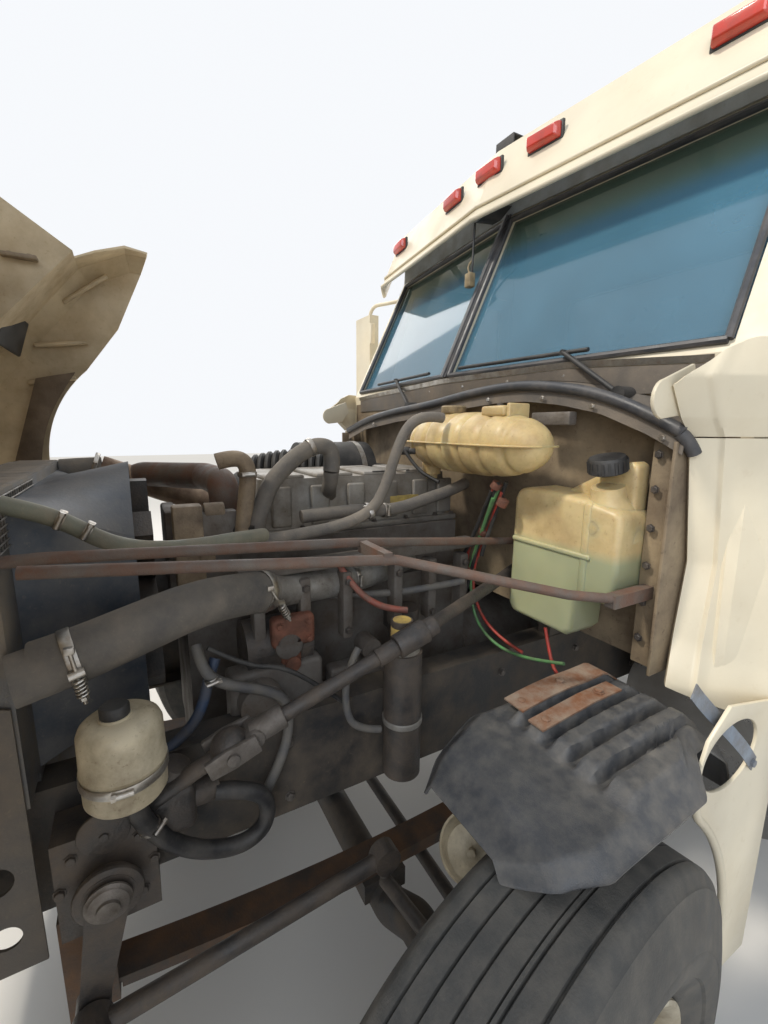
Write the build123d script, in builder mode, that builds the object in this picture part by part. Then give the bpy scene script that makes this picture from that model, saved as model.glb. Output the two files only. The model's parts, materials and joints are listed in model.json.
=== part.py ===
from build123d import *
from math import hypot, sqrt
import os

# A road tractor for semi trailers, day cab, with its hood tilted open.
# Millimetres. +Z is up, the truck faces -Y and its left side is +X.
# The origin is on the ground, in the middle of the whole outline.

os.makedirs("parts", exist_ok=True)

# Wheelbase and overall layout
front_axle_y = -2007.1
bumper_setback = 1219.0
bumper_to_cab_back = 3048.0
wheelbase = 4572.0
tandem_spacing = 1320.0
frame_overhang = 640.0

# Wheels and tyres
tyre_radius = 507.0
tyre_width = 280.0
bead_radius = 284.0
rim_width = 210.0
dual_spacing = 343.0
front_track = 2060.0
rear_track = 1830.0
stud_circle = 285.75
stud_count = 10
stud_radius = 11.0
hub_radius = 110.0
disc_offset = 171.5
drum_radius = 226.0
front_spindle_radius = 45.0
rear_spindle_radius = 62.0
hub_bore_gap = 0.4
seat_gap = 0.3

# Frame
rail_outer = 432.0
rail_height = 267.0
rail_flange = 81.0
rail_wall = 9.0
rail_top = 1020.0

# Steering
kingpin_x = 890.0
kingpin_radius = 19.0
steer_at_rest = 8.0
pitman_x = 545.0
pitman_ahead = 635.0
pitman_z = 850.0
pitman_length = 240.0
pitman_ratio = 1.375
arm_reach = 306.0
tie_rod_behind = 190.0
tie_rod_z = 415.0
crank_z = 850.0

# Cab
cab_half_width = 1040.0
cab_front_half = 955.0
cab_floor_z = 1130.0
floor_thickness = 45.0
belt_z = 1880.0
header_z = 2505.0
roof_z = 2750.0
cab_wall = 50.0
firewall_behind = 585.0
glass_thickness = 6.0
door_front_behind = 745.0
door_rear_behind = 1757.0
door_gap = 7.0

# Hood
hood_open_angle = 55.0
hinge_ahead = 1150.0
hinge_z = 750.0
hood_wall = 8.0
hood_nose_half = 560.0
hood_rear_half = 868.0
hood_nose_ahead = 1205.0
hood_nose_top = 1600.0
hood_rear_top = 1835.0
hood_rear_behind = 470.0
fender_rear_top = 1300.0
hood_room_low = 600.0
fender_outer = 1172.0
arch_radius = 568.0

rail_bottom = rail_top - rail_height
bumper_y = front_axle_y - bumper_setback
cab_back_y = bumper_y + bumper_to_cab_back
tandem_y = front_axle_y + wheelbase
drive_axles = [tandem_y - tandem_spacing / 2, tandem_y + tandem_spacing / 2]
frame_end_y = tandem_y + tandem_spacing / 2 + frame_overhang
frame_front_y = front_axle_y - 1075.0
hub_z = tyre_radius - 2.0
wheel_x = front_track / 2
hinge_y = front_axle_y - hinge_ahead
firewall_y = front_axle_y + firewall_behind
door_front_y = front_axle_y + door_front_behind
door_rear_y = front_axle_y + door_rear_behind

hood_hinge = Axis((0, hinge_y, hinge_z), (1, 0, 0))


def section_at(y):
    """Upright plane across the truck: local x is X, local y is Z, facing forward."""
    return Plane(origin=(0, y, 0), x_dir=(1, 0, 0), z_dir=(0, -1, 0))


def side_at(x):
    """Upright plane along the truck: local x is Y, local y is Z, facing left."""
    return Plane.YZ.offset(x)


def pipe_run(route, diameter, bend):
    """A round tube along straight runs with tangent bends."""
    with BuildPart() as run:
        with BuildLine() as path:
            FilletPolyline(*route, radius=bend)
        with BuildSketch(Plane(origin=path.line @ 0, z_dir=path.line % 0)):
            Circle(diameter / 2)
        sweep()
    return run.part


def rod_between(start, end, diameter):
    """A straight round bar from one point to another."""
    axis = Vector(*end) - Vector(*start)
    with BuildPart() as bar:
        with BuildSketch(Plane(origin=start, z_dir=axis)):
            Circle(diameter / 2)
        extrude(amount=axis.length)
    return bar.part


def block(x0, x1, y0, y1, z0, z1):
    """A plain block between two corners."""
    with BuildPart() as solid:
        with BuildSketch(Plane.XY.offset(z0)):
            with Locations(((x0 + x1) / 2, (y0 + y1) / 2)):
                Rectangle(abs(x1 - x0), abs(y1 - y0))
        extrude(amount=z1 - z0)
    return solid.part


def both_sides(*pieces):
    """Adds pieces and their mirror images across the truck's middle."""
    for piece in pieces:
        add(piece)
        add(piece.mirror(Plane.YZ))


def finish(builder, label):
    builder.part.label = label
    export_step(builder.part, f"parts/{label}.step")


# Wheels: one tyre and one disc wheel, both round the X axis
with BuildPart() as tyre_form:
    with BuildSketch(Plane.XZ):
        with BuildLine():
            half = tyre_width / 2
            Polyline(
                (-rim_width / 2, bead_radius + 6),
                (-rim_width / 2 - 8, bead_radius + 30),
                (-half, bead_radius + 100),
                (-half, tyre_radius - 110),
                (-half + 12, tyre_radius - 60),
                (-half + 38, tyre_radius - 12),
                (-half + 48, tyre_radius),
                (half - 48, tyre_radius),
                (half - 38, tyre_radius - 12),
                (half - 12, tyre_radius - 60),
                (half, tyre_radius - 110),
                (half, bead_radius + 100),
                (rim_width / 2 + 8, bead_radius + 30),
                (rim_width / 2, bead_radius + 6),
                close=True,
            )
        make_face()
    revolve(axis=Axis.X)


def disc_wheel():
    """A disc wheel round the X axis, its mounting face at +disc_offset from the rim's middle."""
    lip = bead_radius + 5.7
    seat = bead_radius - 30
    well = bead_radius - 46
    edge = rim_width / 2
    bolt_ring = stud_circle / 2 + 38
    with BuildPart() as wheel:
        with BuildSketch(Plane.XZ):
            with BuildLine():
                Polyline((-edge, lip), (edge, lip), (edge, seat), (edge - 40, well), (-edge + 40, well),
                         (-edge, seat), close=True)
            make_face()
            with BuildLine():
                Polyline((disc_offset - 12, hub_radius - 1), (disc_offset - 12, bolt_ring - 4),
                         (edge - 34, well - 2), (edge - 34, well + 6), (edge - 12, well + 6), (edge - 12, well - 2),
                         (disc_offset, bolt_ring + 4), (disc_offset, hub_radius - 1), close=True)
            make_face()
        revolve(axis=Axis.X)
        with BuildSketch(Plane.YZ.offset(edge - 40)):
            with PolarLocations(bolt_ring + 32, stud_count, start_angle=18):
                Circle(19)
        extrude(amount=disc_offset, mode=Mode.SUBTRACT)
    return wheel.part


def hub(inner, outer, cap, bore, drum_start, drum_end):
    """Hub and brake drum round the X axis, bored for the spindle from its inner end."""
    with BuildPart() as form:
        with BuildSketch(Plane.YZ.offset(drum_start)):
            Circle(drum_radius)
        extrude(amount=drum_end - drum_start)
        with BuildSketch(Plane.YZ.offset(drum_start)):
            Circle(drum_radius - 20)
        extrude(amount=drum_end - drum_start - 14, mode=Mode.SUBTRACT)
        with BuildSketch(Plane.YZ.offset(inner)):
            Circle(hub_radius)
        extrude(amount=outer - inner)
        with BuildSketch(Plane.YZ.offset(outer)):
            Circle(hub_radius - 18)
        extrude(amount=cap, taper=8)
        with BuildSketch(Plane.YZ.offset(outer - 46)):
            with PolarLocations(stud_circle / 2, stud_count):
                Circle(stud_radius)
        extrude(amount=62)
        with BuildSketch(Plane.YZ.offset(drum_end - 2)):
            Circle(stud_circle / 2 + 34)
        extrude(amount=outer - 22 - drum_end + 2)
        with BuildSketch(Plane.YZ.offset(inner)):
            Circle(bore)
        extrude(amount=outer - inner - 60, mode=Mode.SUBTRACT)
    return form.part


wheel_disc = disc_wheel()
steer_axis = {side: Axis((side * kingpin_x, front_axle_y, 0), (0, 0, 1)) for side in (1, -1)}


def steered(piece, side):
    """Turns a piece about its kingpin to the angle at which the truck is parked."""
    return piece.rotate(steer_axis[side], steer_at_rest)


front_hub = hub(-25, disc_offset + 30, 62, front_spindle_radius + hub_bore_gap, -65, disc_offset - 34)
for side, name in ((1, "left"), (-1, "right")):
    centre = Location((side * wheel_x, front_axle_y, hub_z), (0, 0, 0 if side > 0 else 180))
    with BuildPart() as wheel_front:
        add(steered(tyre_form.part.moved(centre), side))
        add(steered(wheel_disc.moved(centre), side))
        add(steered(front_hub.moved(centre), side))
    finish(wheel_front, f"wheel_front_{name}")

# Rear pairs share one hub: the discs meet face to face between the two rims
rear_hub = hub(-170, 30, 140, rear_spindle_radius + hub_bore_gap, -290, -34)
for index, axle_y in enumerate(drive_axles):
    for side, name in ((1, "left"), (-1, "right")):
        turn = 0 if side > 0 else 180
        middle = side * rear_track / 2
        with BuildPart() as wheel_pair:
            for step in (-1, 1):
                place = Location((middle + side * step * dual_spacing / 2, axle_y, hub_z))
                flip = Location((0, 0, 0), (0, 0, turn if step < 0 else 180 - turn))
                add(tyre_form.part.moved(place))
                add(wheel_disc.moved(place * flip))
            add(rear_hub.moved(Location((middle, axle_y, hub_z), (0, 0, turn))))
        finish(wheel_pair, f"wheel_{('forward', 'rearward')[index]}_{name}")

# Ladder frame: two channels and their crossmembers in one welded piece
# Crossmember table: distance behind the front axle, depth along the truck
crossmembers = [
    (-1000.0, 90.0),
    (2330.0, 70.0),
    (3330.0, 70.0),
    (wheelbase, 160.0),
    (wheelbase + tandem_spacing / 2 + frame_overhang - 50.0, 70.0),
]
crossmember_height = 130.0
hinge_pin_radius = 12.0
with BuildPart() as frame_rails:
    with BuildSketch(section_at(frame_front_y)):
        for side in (1, -1):
            with Locations((side * (rail_outer - rail_flange / 2), rail_top - rail_height / 2)):
                Rectangle(rail_flange, rail_height)
            inset = side * (rail_outer - rail_flange / 2 - rail_wall)
            with Locations((inset, rail_top - rail_height / 2)):
                Rectangle(rail_flange, rail_height - 2 * rail_wall, mode=Mode.SUBTRACT)
    extrude(amount=frame_front_y - frame_end_y)
    for behind, depth in crossmembers:
        y = front_axle_y + behind
        with BuildSketch(section_at(y - depth / 2)):
            with Locations((0, rail_top - rail_wall - crossmember_height / 2)):
                Rectangle(2 * (rail_outer - rail_wall), crossmember_height)
                Rectangle(2 * (rail_outer - 160), crossmember_height - 70, mode=Mode.SUBTRACT)
        extrude(amount=-depth)
    # ears that carry the hood's hinge pins
    for side in (1, -1):
        with BuildSketch(side_at(side * 394 - 9)):
            with BuildLine():
                Polyline((frame_front_y + 2, rail_bottom + 8), (hinge_y, hinge_z - 24), (hinge_y - 22, hinge_z),
                         (hinge_y, hinge_z + 24), (frame_front_y + 2, rail_bottom + 90), close=True)
            make_face()
        extrude(amount=18)
        with BuildSketch(side_at(side * 365 - 38)):
            with Locations((hinge_y, hinge_z)):
                Circle(hinge_pin_radius)
        extrude(amount=76)
finish(frame_rails, "frame_rails")

# Front bumper: a bowed steel plate on two brackets
bumper_bottom = 340.0
bumper_top = 655.0
with BuildPart() as front_bumper:
    with BuildSketch(Plane.XY.offset(bumper_bottom)):
        with BuildLine():
            ThreePointArc((-1185, bumper_y + 190), (0, bumper_y), (1185, bumper_y + 190))
            Line((1185, bumper_y + 190), (1175, bumper_y + 197))
            ThreePointArc((1175, bumper_y + 197), (0, bumper_y + 8), (-1175, bumper_y + 197))
            Line((-1175, bumper_y + 197), (-1185, bumper_y + 190))
        make_face()
    extrude(amount=bumper_top - bumper_bottom)
    for side in (1, -1):
        with BuildSketch(side_at(side * 415 - 12)):
            with BuildLine():
                Polyline((bumper_y + 20, 400), (bumper_y + 20, 640), (frame_front_y + 20, 690),
                         (frame_front_y + 30, rail_bottom - seat_gap), (frame_front_y + 190, rail_bottom - seat_gap),
                         (frame_front_y + 120, 560), close=True)
            make_face()
        extrude(amount=24)
finish(front_bumper, "front_bumper")

# Steer axle beam with its kingpin ends
beam_z = hub_z
with BuildPart() as front_axle:
    add(pipe_run(
        [(-kingpin_x + 62, front_axle_y, beam_z), (-640, front_axle_y, beam_z - 10),
         (-520, front_axle_y, beam_z - 95), (520, front_axle_y, beam_z - 95),
         (640, front_axle_y, beam_z - 10), (kingpin_x - 62, front_axle_y, beam_z)],
        96, 60))
    for side in (1, -1):
        with BuildSketch(Plane.XY.offset(beam_z - 62)):
            with Locations((side * kingpin_x, front_axle_y)):
                Circle(42)
            with Locations((side * (kingpin_x - 45), front_axle_y)):
                Rectangle(70, 78)
        extrude(amount=124)
        with BuildSketch(Plane.XY.offset(beam_z - 110)):
            with Locations((side * kingpin_x, front_axle_y)):
                Circle(kingpin_radius)
        extrude(amount=220)
        with BuildSketch(Plane.XY.offset(beam_z - 95)):
            with Locations((side * 430, front_axle_y)):
                Rectangle(110, 130)
        extrude(amount=60)
finish(front_axle, "front_axle")

# Knuckles: fork round the axle end, spindle, steering arm and tie rod arm
fork_gap = 5.0
with BuildPart() as knuckle_form:
    for z0, z1 in ((beam_z + 62 + fork_gap, beam_z + 112), (beam_z - 112, beam_z - 62 - fork_gap)):
        with BuildSketch(Plane.XY.offset(z0)):
            with Locations((kingpin_x, front_axle_y)):
                Circle(44)
            with Locations((kingpin_x + 36, front_axle_y)):
                Rectangle(72, 80)
            with Locations((kingpin_x, front_axle_y)):
                Circle(kingpin_radius + seat_gap, mode=Mode.SUBTRACT)
        extrude(amount=z1 - z0)
    add(block(kingpin_x + 50, kingpin_x + 74, front_axle_y - 60, front_axle_y + 60, beam_z - 112, beam_z + 112))
    with BuildSketch(Plane.YZ.offset(kingpin_x + 74)):
        with Locations((front_axle_y, beam_z)):
            Circle(45)
    extrude(amount=70)
    add(rod_between(
        (kingpin_x - 6, front_axle_y + 30, tie_rod_z), (kingpin_x - 55, front_axle_y + tie_rod_behind, tie_rod_z), 40))
    add(rod_between(
        (kingpin_x - 55, front_axle_y + tie_rod_behind, tie_rod_z),
        (kingpin_x - 55, front_axle_y + tie_rod_behind, tie_rod_z - 25.7), 22))
    add(block(kingpin_x - 25, kingpin_x + 20, front_axle_y + 22, front_axle_y + 46, tie_rod_z - 20, beam_z - 70))
arm_z = beam_z + 98.0
with BuildPart() as knuckle_left:
    add(steered(knuckle_form.part, 1))
    add(steered(rod_between((kingpin_x - 38, front_axle_y - 20, arm_z),
                            (kingpin_x - arm_reach, front_axle_y - 20, arm_z), 34), 1))
    add(steered(rod_between((kingpin_x - arm_reach, front_axle_y - 20, arm_z),
                            (kingpin_x - arm_reach, front_axle_y - 20, arm_z + 27), 24), 1))
with BuildPart() as knuckle_right:
    add(steered(knuckle_form.part.mirror(Plane.YZ), -1))
finish(knuckle_left, "knuckle_left")
finish(knuckle_right, "knuckle_right")

# Tie rod behind the axle, one eye over each knuckle arm
tie_eye = {}
for side in (1, -1):
    reach = Vector(side * -55, tie_rod_behind, 0).rotate(Axis.Z, steer_at_rest)
    tie_eye[side] = (side * kingpin_x + reach.X, front_axle_y + reach.Y)
eye_z = tie_rod_z - 48
with BuildPart() as tie_rod:
    add(rod_between((*tie_eye[-1], eye_z), (*tie_eye[1], eye_z), 40))
    for side in (1, -1):
        with BuildSketch(Plane.XY.offset(eye_z - 22)):
            with Locations(tie_eye[side]):
                Circle(34)
        extrude(amount=44)
finish(tie_rod, "tie_rod")

# Pitman arm, turned with the parked wheels, and the drag link back to the knuckle's arm
pitman_y = front_axle_y - pitman_ahead
pitman_axis = Axis((0, pitman_y, pitman_z), (1, 0, 0))
pitman_rest = steer_at_rest * pitman_ratio
ball = Vector(0, 0, -pitman_length).rotate(Axis.X, -pitman_rest)
ball_y = pitman_y + ball.Y
ball_z = pitman_z + ball.Z
arm_end = Vector(-arm_reach, -20, 0).rotate(Axis.Z, steer_at_rest)
drag_end_y = front_axle_y + arm_end.Y
drag_end_z = arm_z + 27 + 5.5 + 34
with BuildPart() as pitman_upright:
    with BuildSketch(side_at(pitman_x - 16)):
        with Locations((pitman_y, pitman_z)):
            Circle(46)
        with Locations((pitman_y, pitman_z - pitman_length)):
            Circle(30)
        with BuildLine():
            Polyline((pitman_y - 38, pitman_z), (pitman_y + 38, pitman_z),
                     (pitman_y + 24, pitman_z - pitman_length), (pitman_y - 24, pitman_z - pitman_length), close=True)
        make_face()
    extrude(amount=32)
    with BuildSketch(side_at(pitman_x + 16)):
        with Locations((pitman_y, pitman_z - pitman_length)):
            Circle(13)
    extrude(amount=5.7)
with BuildPart() as pitman_arm:
    add(pitman_upright.part.rotate(pitman_axis, -pitman_rest))
finish(pitman_arm, "pitman_arm")
drag_x = pitman_x + 44
with BuildPart() as drag_link:
    add(rod_between((drag_x, ball_y, ball_z), (drag_x, drag_end_y, drag_end_z), 38))
    for eye_y, eye_height in ((ball_y, ball_z), (drag_end_y, drag_end_z)):
        with BuildSketch(side_at(drag_x - 22)):
            with Locations((eye_y, eye_height)):
                Circle(34)
        extrude(amount=44)
finish(drag_link, "drag_link")

# Level table of the cab: height, nose, front corner, side corner (behind the front axle), half widths
cab_levels = [
    (cab_floor_z, 585.0, 585.0, 745.0, cab_front_half, cab_half_width),
    (belt_z, 505.0, 600.0, 745.0, cab_front_half, cab_half_width),
    (header_z, 795.0, 890.0, 1000.0, cab_front_half - 30, cab_half_width),
    (roof_z - 60, 800.0, 900.0, 1005.0, cab_front_half - 30, cab_half_width),
]


# The lofted front bows out of the straight table by up to this much
face_bow = 0.6


def cab_face(x, z):
    """Y of the cab's front face at a given place across and height."""
    for lower, upper in zip(cab_levels[:-1], cab_levels[1:]):
        if z <= upper[0]:
            share = (z - lower[0]) / (upper[0] - lower[0])
            nose, corner, half = (lower[i] + share * (upper[i] - lower[i]) for i in (1, 2, 4))
            return front_axle_y + nose + (corner - nose) * abs(x) / half
    return front_axle_y + cab_levels[-1][1]


def cab_seat(x0, x1, z0, z1):
    """Y at which a bracket of that width and height stops just short of the cab's front."""
    return min(cab_face(x, z) for x in (x0, x1) for z in (z0, z1)) - seat_gap - face_bow


# Steering gear on the left rail, its input shaft and universal joints up to the cab
gear_x = 490.0
shaft_end = (405.0, cab_face(405, 1285) - 3, 1285)
with BuildPart() as steering_gear:
    with BuildSketch(side_at(rail_outer + seat_gap)):
        with Locations((pitman_y, pitman_z + 10)):
            Rectangle(170, 210)
    extrude(amount=pitman_x - 22 - rail_outer - seat_gap)
    with BuildSketch(side_at(pitman_x - 22)):
        with Locations((pitman_y, pitman_z)):
            Circle(28)
    extrude(amount=5.7)
    add(pipe_run(
        [(gear_x, pitman_y + 30, pitman_z + 90), (gear_x + 40, front_axle_y - 400, 1060),
         (gear_x + 60, front_axle_y + 40, 1215), (440, front_axle_y + 400, 1262),
         (shaft_end[0], shaft_end[1] - 50, shaft_end[2]), shaft_end], 34, 30))
    for joint, joint_radius in (((gear_x + 40, front_axle_y - 400, 1060), 40), ((gear_x + 60, front_axle_y + 40, 1215), 26)):
        with Locations(joint):
            Sphere(joint_radius)
finish(steering_gear, "steering_gear")

# Springs: front leaf packs, and trailing beams with air bags at the back
with BuildPart() as leaf_springs:
    for side in (1, -1):
        # Leaf table: half length and height of the leaf's middle above the axle seat
        for half_length, rise in ((680.0, 26.0), (640.0, 13.0), (430.0, 0.0)):
            seat = beam_z - 34.7 + rise
            with BuildSketch(side_at(side * 430 - 40)):
                with BuildLine():
                    sag = half_length * half_length / 9500.0
                    ThreePointArc((front_axle_y - half_length, seat + sag), (front_axle_y, seat),
                                  (front_axle_y + half_length, seat + sag))
                    Line((front_axle_y + half_length, seat + sag), (front_axle_y + half_length, seat + sag + 13))
                    ThreePointArc((front_axle_y + half_length, seat + sag + 13), (front_axle_y, seat + 13),
                                  (front_axle_y - half_length, seat + sag + 13))
                    Line((front_axle_y - half_length, seat + sag + 13), (front_axle_y - half_length, seat + sag))
                make_face()
            extrude(amount=80)
        for end in (-1, 1):
            y = front_axle_y + end * 690
            add(block(side * 430 - 45, side * 430 + 45, y - 45, y + 45, beam_z, rail_bottom - seat_gap))
finish(leaf_springs, "leaf_springs")

with BuildPart() as rear_suspension:
    for axle_y in drive_axles:
        for side in (1, -1):
            x = side * 390.0
            add(block(x - 40, x + 40, axle_y - 560, axle_y + 470, hub_z + 75.3, hub_z + 150))
            add(block(x - 50, x + 50, axle_y - 600, axle_y - 520, hub_z + 60, rail_bottom - seat_gap))
            with BuildSketch(Plane.XY.offset(hub_z + 150)):
                with Locations((x, axle_y + 400)):
                    Circle(110)
            extrude(amount=rail_bottom - seat_gap - hub_z - 150)
finish(rear_suspension, "rear_suspension")

# Drive axles with their differentials and the shafts that feed them
shaft_z = hub_z + 60
gearbox_end_y = front_axle_y + 2100.0
with BuildPart() as rear_axles:
    for axle_y in drive_axles:
        with BuildSketch(side_at(-625)):
            with Locations((axle_y, hub_z)):
                Circle(75)
        extrude(amount=1250)
        with BuildSketch(side_at(-rear_track / 2 + 60)):
            with Locations((axle_y, hub_z)):
                Circle(rear_spindle_radius)
        extrude(amount=rear_track - 120)
        with Locations((0, axle_y, hub_z)):
            Sphere(215)
        with BuildSketch(section_at(axle_y - 150)):
            with Locations((0, shaft_z)):
                Circle(120)
        extrude(amount=190, taper=8)
    with BuildSketch(section_at(gearbox_end_y + seat_gap)):
        with Locations((0, crank_z)):
            Circle(72)
    extrude(amount=-34)
    add(rod_between((0, gearbox_end_y + 20, crank_z), (0, drive_axles[0] - 300, shaft_z), 110))
    add(rod_between((0, drive_axles[0] + 30, shaft_z), (0, drive_axles[1] - 300, shaft_z), 100))
finish(rear_axles, "rear_axles")

# Fuel tanks under the doors
tank_radius = 305.0
tank_x = rail_outer + 45.0 + tank_radius
tank_z = 745.0
tank_front_y = front_axle_y + 1060.0
tank_length = 1350.0
with BuildPart() as fuel_tanks:
    for side in (1, -1):
        with BuildSketch(section_at(tank_front_y)):
            with Locations((side * tank_x, tank_z)):
                Circle(tank_radius)
        extrude(amount=-tank_length)
finish(fuel_tanks, "fuel_tanks")

# Tank straps, brackets and cab steps
strap = 6.0
with BuildPart() as tank_steps:
    for side in (1, -1):
        for along in (0.2, 0.8):
            y = tank_front_y + along * tank_length
            with BuildSketch(section_at(y - 30)):
                with Locations((side * tank_x, tank_z)):
                    Circle(tank_radius + seat_gap + strap)
                    Circle(tank_radius + seat_gap, mode=Mode.SUBTRACT)
            extrude(amount=-60)
            x = side * rail_outer
            add(block(x + side * seat_gap, x + side * 40, y - 30, y + 30, tank_z - 120, rail_top - 20))
        add(block(side * (tank_x + tank_radius - 60), side * (tank_x + tank_radius + 70),
                  tank_front_y + 60, tank_front_y + tank_length - 160, 520, 560))
        add(block(side * (tank_x + tank_radius - 3), side * (tank_x + tank_radius + 70),
                  tank_front_y + 60, tank_front_y + tank_length - 160, 800, 830))
finish(tank_steps, "tank_steps")

# Battery box and air tanks on the rails behind the cab
with BuildPart() as battery_box:
    add(block(rail_outer + seat_gap, rail_outer + 560, tank_front_y + tank_length + 60, tank_front_y + tank_length + 560,
              560, 960))
    for z in (870.0, 600.0):
        with BuildSketch(section_at(tank_front_y + tank_length + 60)):
            with Locations((-rail_outer - 175, z)):
                Circle(125)
        extrude(amount=-620)
    for along in (180, 500):
        y = tank_front_y + tank_length + along
        add(block(-rail_outer - seat_gap, -rail_outer - 60, y - 20, y + 20, 560, 960))
finish(battery_box, "battery_box")

# Upright exhaust behind the cab
stack_x = -770.0
stack_y = cab_back_y + 235.0
turbo_x = -345.0
turbo_z = 1300.0
turbo_front_y = front_axle_y - 60.0
turbo_rear_y = front_axle_y + 130.0
with BuildPart() as exhaust_stack:
    for z0, length, radius in ((1280, 1150, 130), (2430, 870, 64)):
        with BuildSketch(Plane.XY.offset(z0)):
            with Locations((stack_x, stack_y)):
                Circle(radius)
        extrude(amount=length)
    add(pipe_run([(stack_x, stack_y, 1290), (stack_x, stack_y, 1130), (-292, stack_y, 1130),
                  (-292, stack_y, 930), (-292, front_axle_y + 500, 930), (-292, front_axle_y + 500, 1120),
                  (turbo_x, front_axle_y + 380, turbo_z),
                  (turbo_x, turbo_rear_y + seat_gap, turbo_z)], 96, 70))
    add(block(stack_x - 20, -rail_outer - 20, stack_y + 70, stack_y + 110, 1066, 1100))
    add(block(-rail_outer + 80, -rail_outer - 40, stack_y + 60, stack_y + 120, rail_top + seat_gap, 1100))
    add(block(stack_x - 20, stack_x + 20, stack_y + 70, stack_y + 110, 1066, 1320))
finish(exhaust_stack, "exhaust_stack")

# Fifth wheel: side brackets on the frame and the plate that pitches on them
fifth_y = tandem_y - 230.0
fifth_pivot_z = 1130.0
kingpin_r = 25.4
fifth_pin_radius = 20.0
with BuildPart() as fifth_wheel_base:
    add(block(-rail_outer, rail_outer, fifth_y - 330, fifth_y + 330, rail_top + seat_gap, rail_top + 20))
    for side in (1, -1):
        with BuildSketch(side_at(side * 380 - 25)):
            with BuildLine():
                Polyline((fifth_y - 200, rail_top + 20), (fifth_y + 200, rail_top + 20),
                         (fifth_y + 34, fifth_pivot_z + 30), (fifth_y - 34, fifth_pivot_z + 30), close=True)
            make_face()
        extrude(amount=50)
        with BuildSketch(side_at(side * 330 - 60)):
            with Locations((fifth_y, fifth_pivot_z)):
                Circle(fifth_pin_radius)
        extrude(amount=120)
finish(fifth_wheel_base, "fifth_wheel_base")
plate_bottom = fifth_pivot_z + 48.0
plate_top = plate_bottom + 52.0
with BuildPart() as fifth_wheel_plate:
    with BuildSketch(Plane.XY.offset(plate_bottom)):
        with Locations((0, fifth_y)):
            Circle(455)
            Rectangle(1000, 1100, mode=Mode.INTERSECT)
        with Locations((0, fifth_y + 330)):
            Rectangle(620, 360)
        with BuildLine():
            Polyline((-kingpin_r, fifth_y), (-kingpin_r, fifth_y + 190), (-150, fifth_y + 520),
                     (150, fifth_y + 520), (kingpin_r, fifth_y + 190), (kingpin_r, fifth_y), close=True)
        make_face(mode=Mode.SUBTRACT)
    extrude(amount=plate_top - plate_bottom)
    with BuildSketch(Plane.XY.offset(plate_bottom)):
        with Locations((0, fifth_y)):
            Circle(kingpin_r)
    extrude(amount=plate_top - plate_bottom, mode=Mode.SUBTRACT)
    for side in (1, -1):
        with BuildSketch(side_at(side * 310 - 30)):
            with Locations((fifth_y, fifth_pivot_z + 12)):
                Rectangle(110, 76)
            with Locations((fifth_y, fifth_pivot_z)):
                Circle(fifth_pin_radius + seat_gap, mode=Mode.SUBTRACT)
        extrude(amount=60)
finish(fifth_wheel_plate, "fifth_wheel_plate")

# Mud flaps on their hangers
flap_y = drive_axles[1] + 560.0
with BuildPart() as mud_flaps:
    for side in (1, -1):
        add(block(side * 610, side * 1220, flap_y, flap_y + 10, 260, 960))
        add(block(side * (rail_outer + seat_gap), side * 1220, flap_y, flap_y + 40, 955, 995))
finish(mud_flaps, "mud_flaps")

# Skirt behind each front wheel: place across, arch radius and its top edge's two ends behind the axle
skirt_x = 1034.0
skirt_radius = 600.0
skirt_top = [(400.0, 1045.0), (735.0, 1105.0)]

# Inner fender liners over the front tyres, carried by the cab's feet
with BuildPart() as fender_liners:
    with BuildSketch(side_at(700)):
        with BuildLine():
            Polyline((front_axle_y - 30, 1052), (front_axle_y + 60, 1070), (front_axle_y + 300, 1110),
                     (front_axle_y + 430, 1120), (front_axle_y + 560, 1020), (front_axle_y + 640, 860),
                     (front_axle_y + 646, 860), (front_axle_y + 566, 1026), (front_axle_y + 434, 1126),
                     (front_axle_y + 300, 1116), (front_axle_y + 60, 1076), (front_axle_y - 30, 1058), close=True)
        make_face()
    extrude(amount=400)
    add(block(skirt_x - 5, 1200, front_axle_y + skirt_top[0][0] - 6, front_axle_y + 800, 700, 1200),
        mode=Mode.SUBTRACT)
    add(block(rail_outer - rail_flange, 720, front_axle_y + 205, front_axle_y + 245, rail_top + seat_gap, 1034))
    add(block(706, 720, front_axle_y + 205, front_axle_y + 245, 1030, 1100))
    mirror(about=Plane.YZ)
finish(fender_liners, "fender_liners")

# Cooling pack, shroud and fan
pack_y = front_axle_y - 850.0
pack_top = 1600.0
fan_z = 1280.0
with BuildPart() as cooling_pack:
    add(block(-330, 330, pack_y, pack_y + 110, 700, rail_top + 10))
    add(block(-400, 400, pack_y, pack_y + 110, rail_top + seat_gap, pack_top - 30))
    for side in (1, -1):
        add(block(side * 400, side * 500, pack_y - 20, pack_y + 110, rail_top + 20, pack_top - 80))
    add(block(-430, 430, pack_y - 20, pack_y + 110, pack_top - 30, pack_top))
finish(cooling_pack, "cooling_pack")
shroud_y = pack_y + 110 + seat_gap
shroud_depth = 200.0
shroud_wall = 8.0
shroud_ring = 340.0


def shroud_form(inset):
    """Funnel from the cooler's face to the fan's ring."""
    with BuildPart() as funnel:
        with BuildSketch(section_at(shroud_y)):
            with Locations((0, 1310)):
                Rectangle(780 - 2 * inset, 530 - 2 * inset)
        with BuildSketch(section_at(shroud_y + shroud_depth)):
            with Locations((0, fan_z)):
                Circle(shroud_ring - inset)
        loft()
    return funnel.part


with BuildPart() as fan_shroud:
    add(shroud_form(0))
    add(shroud_form(shroud_wall), mode=Mode.SUBTRACT)
finish(fan_shroud, "fan_shroud")

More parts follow.
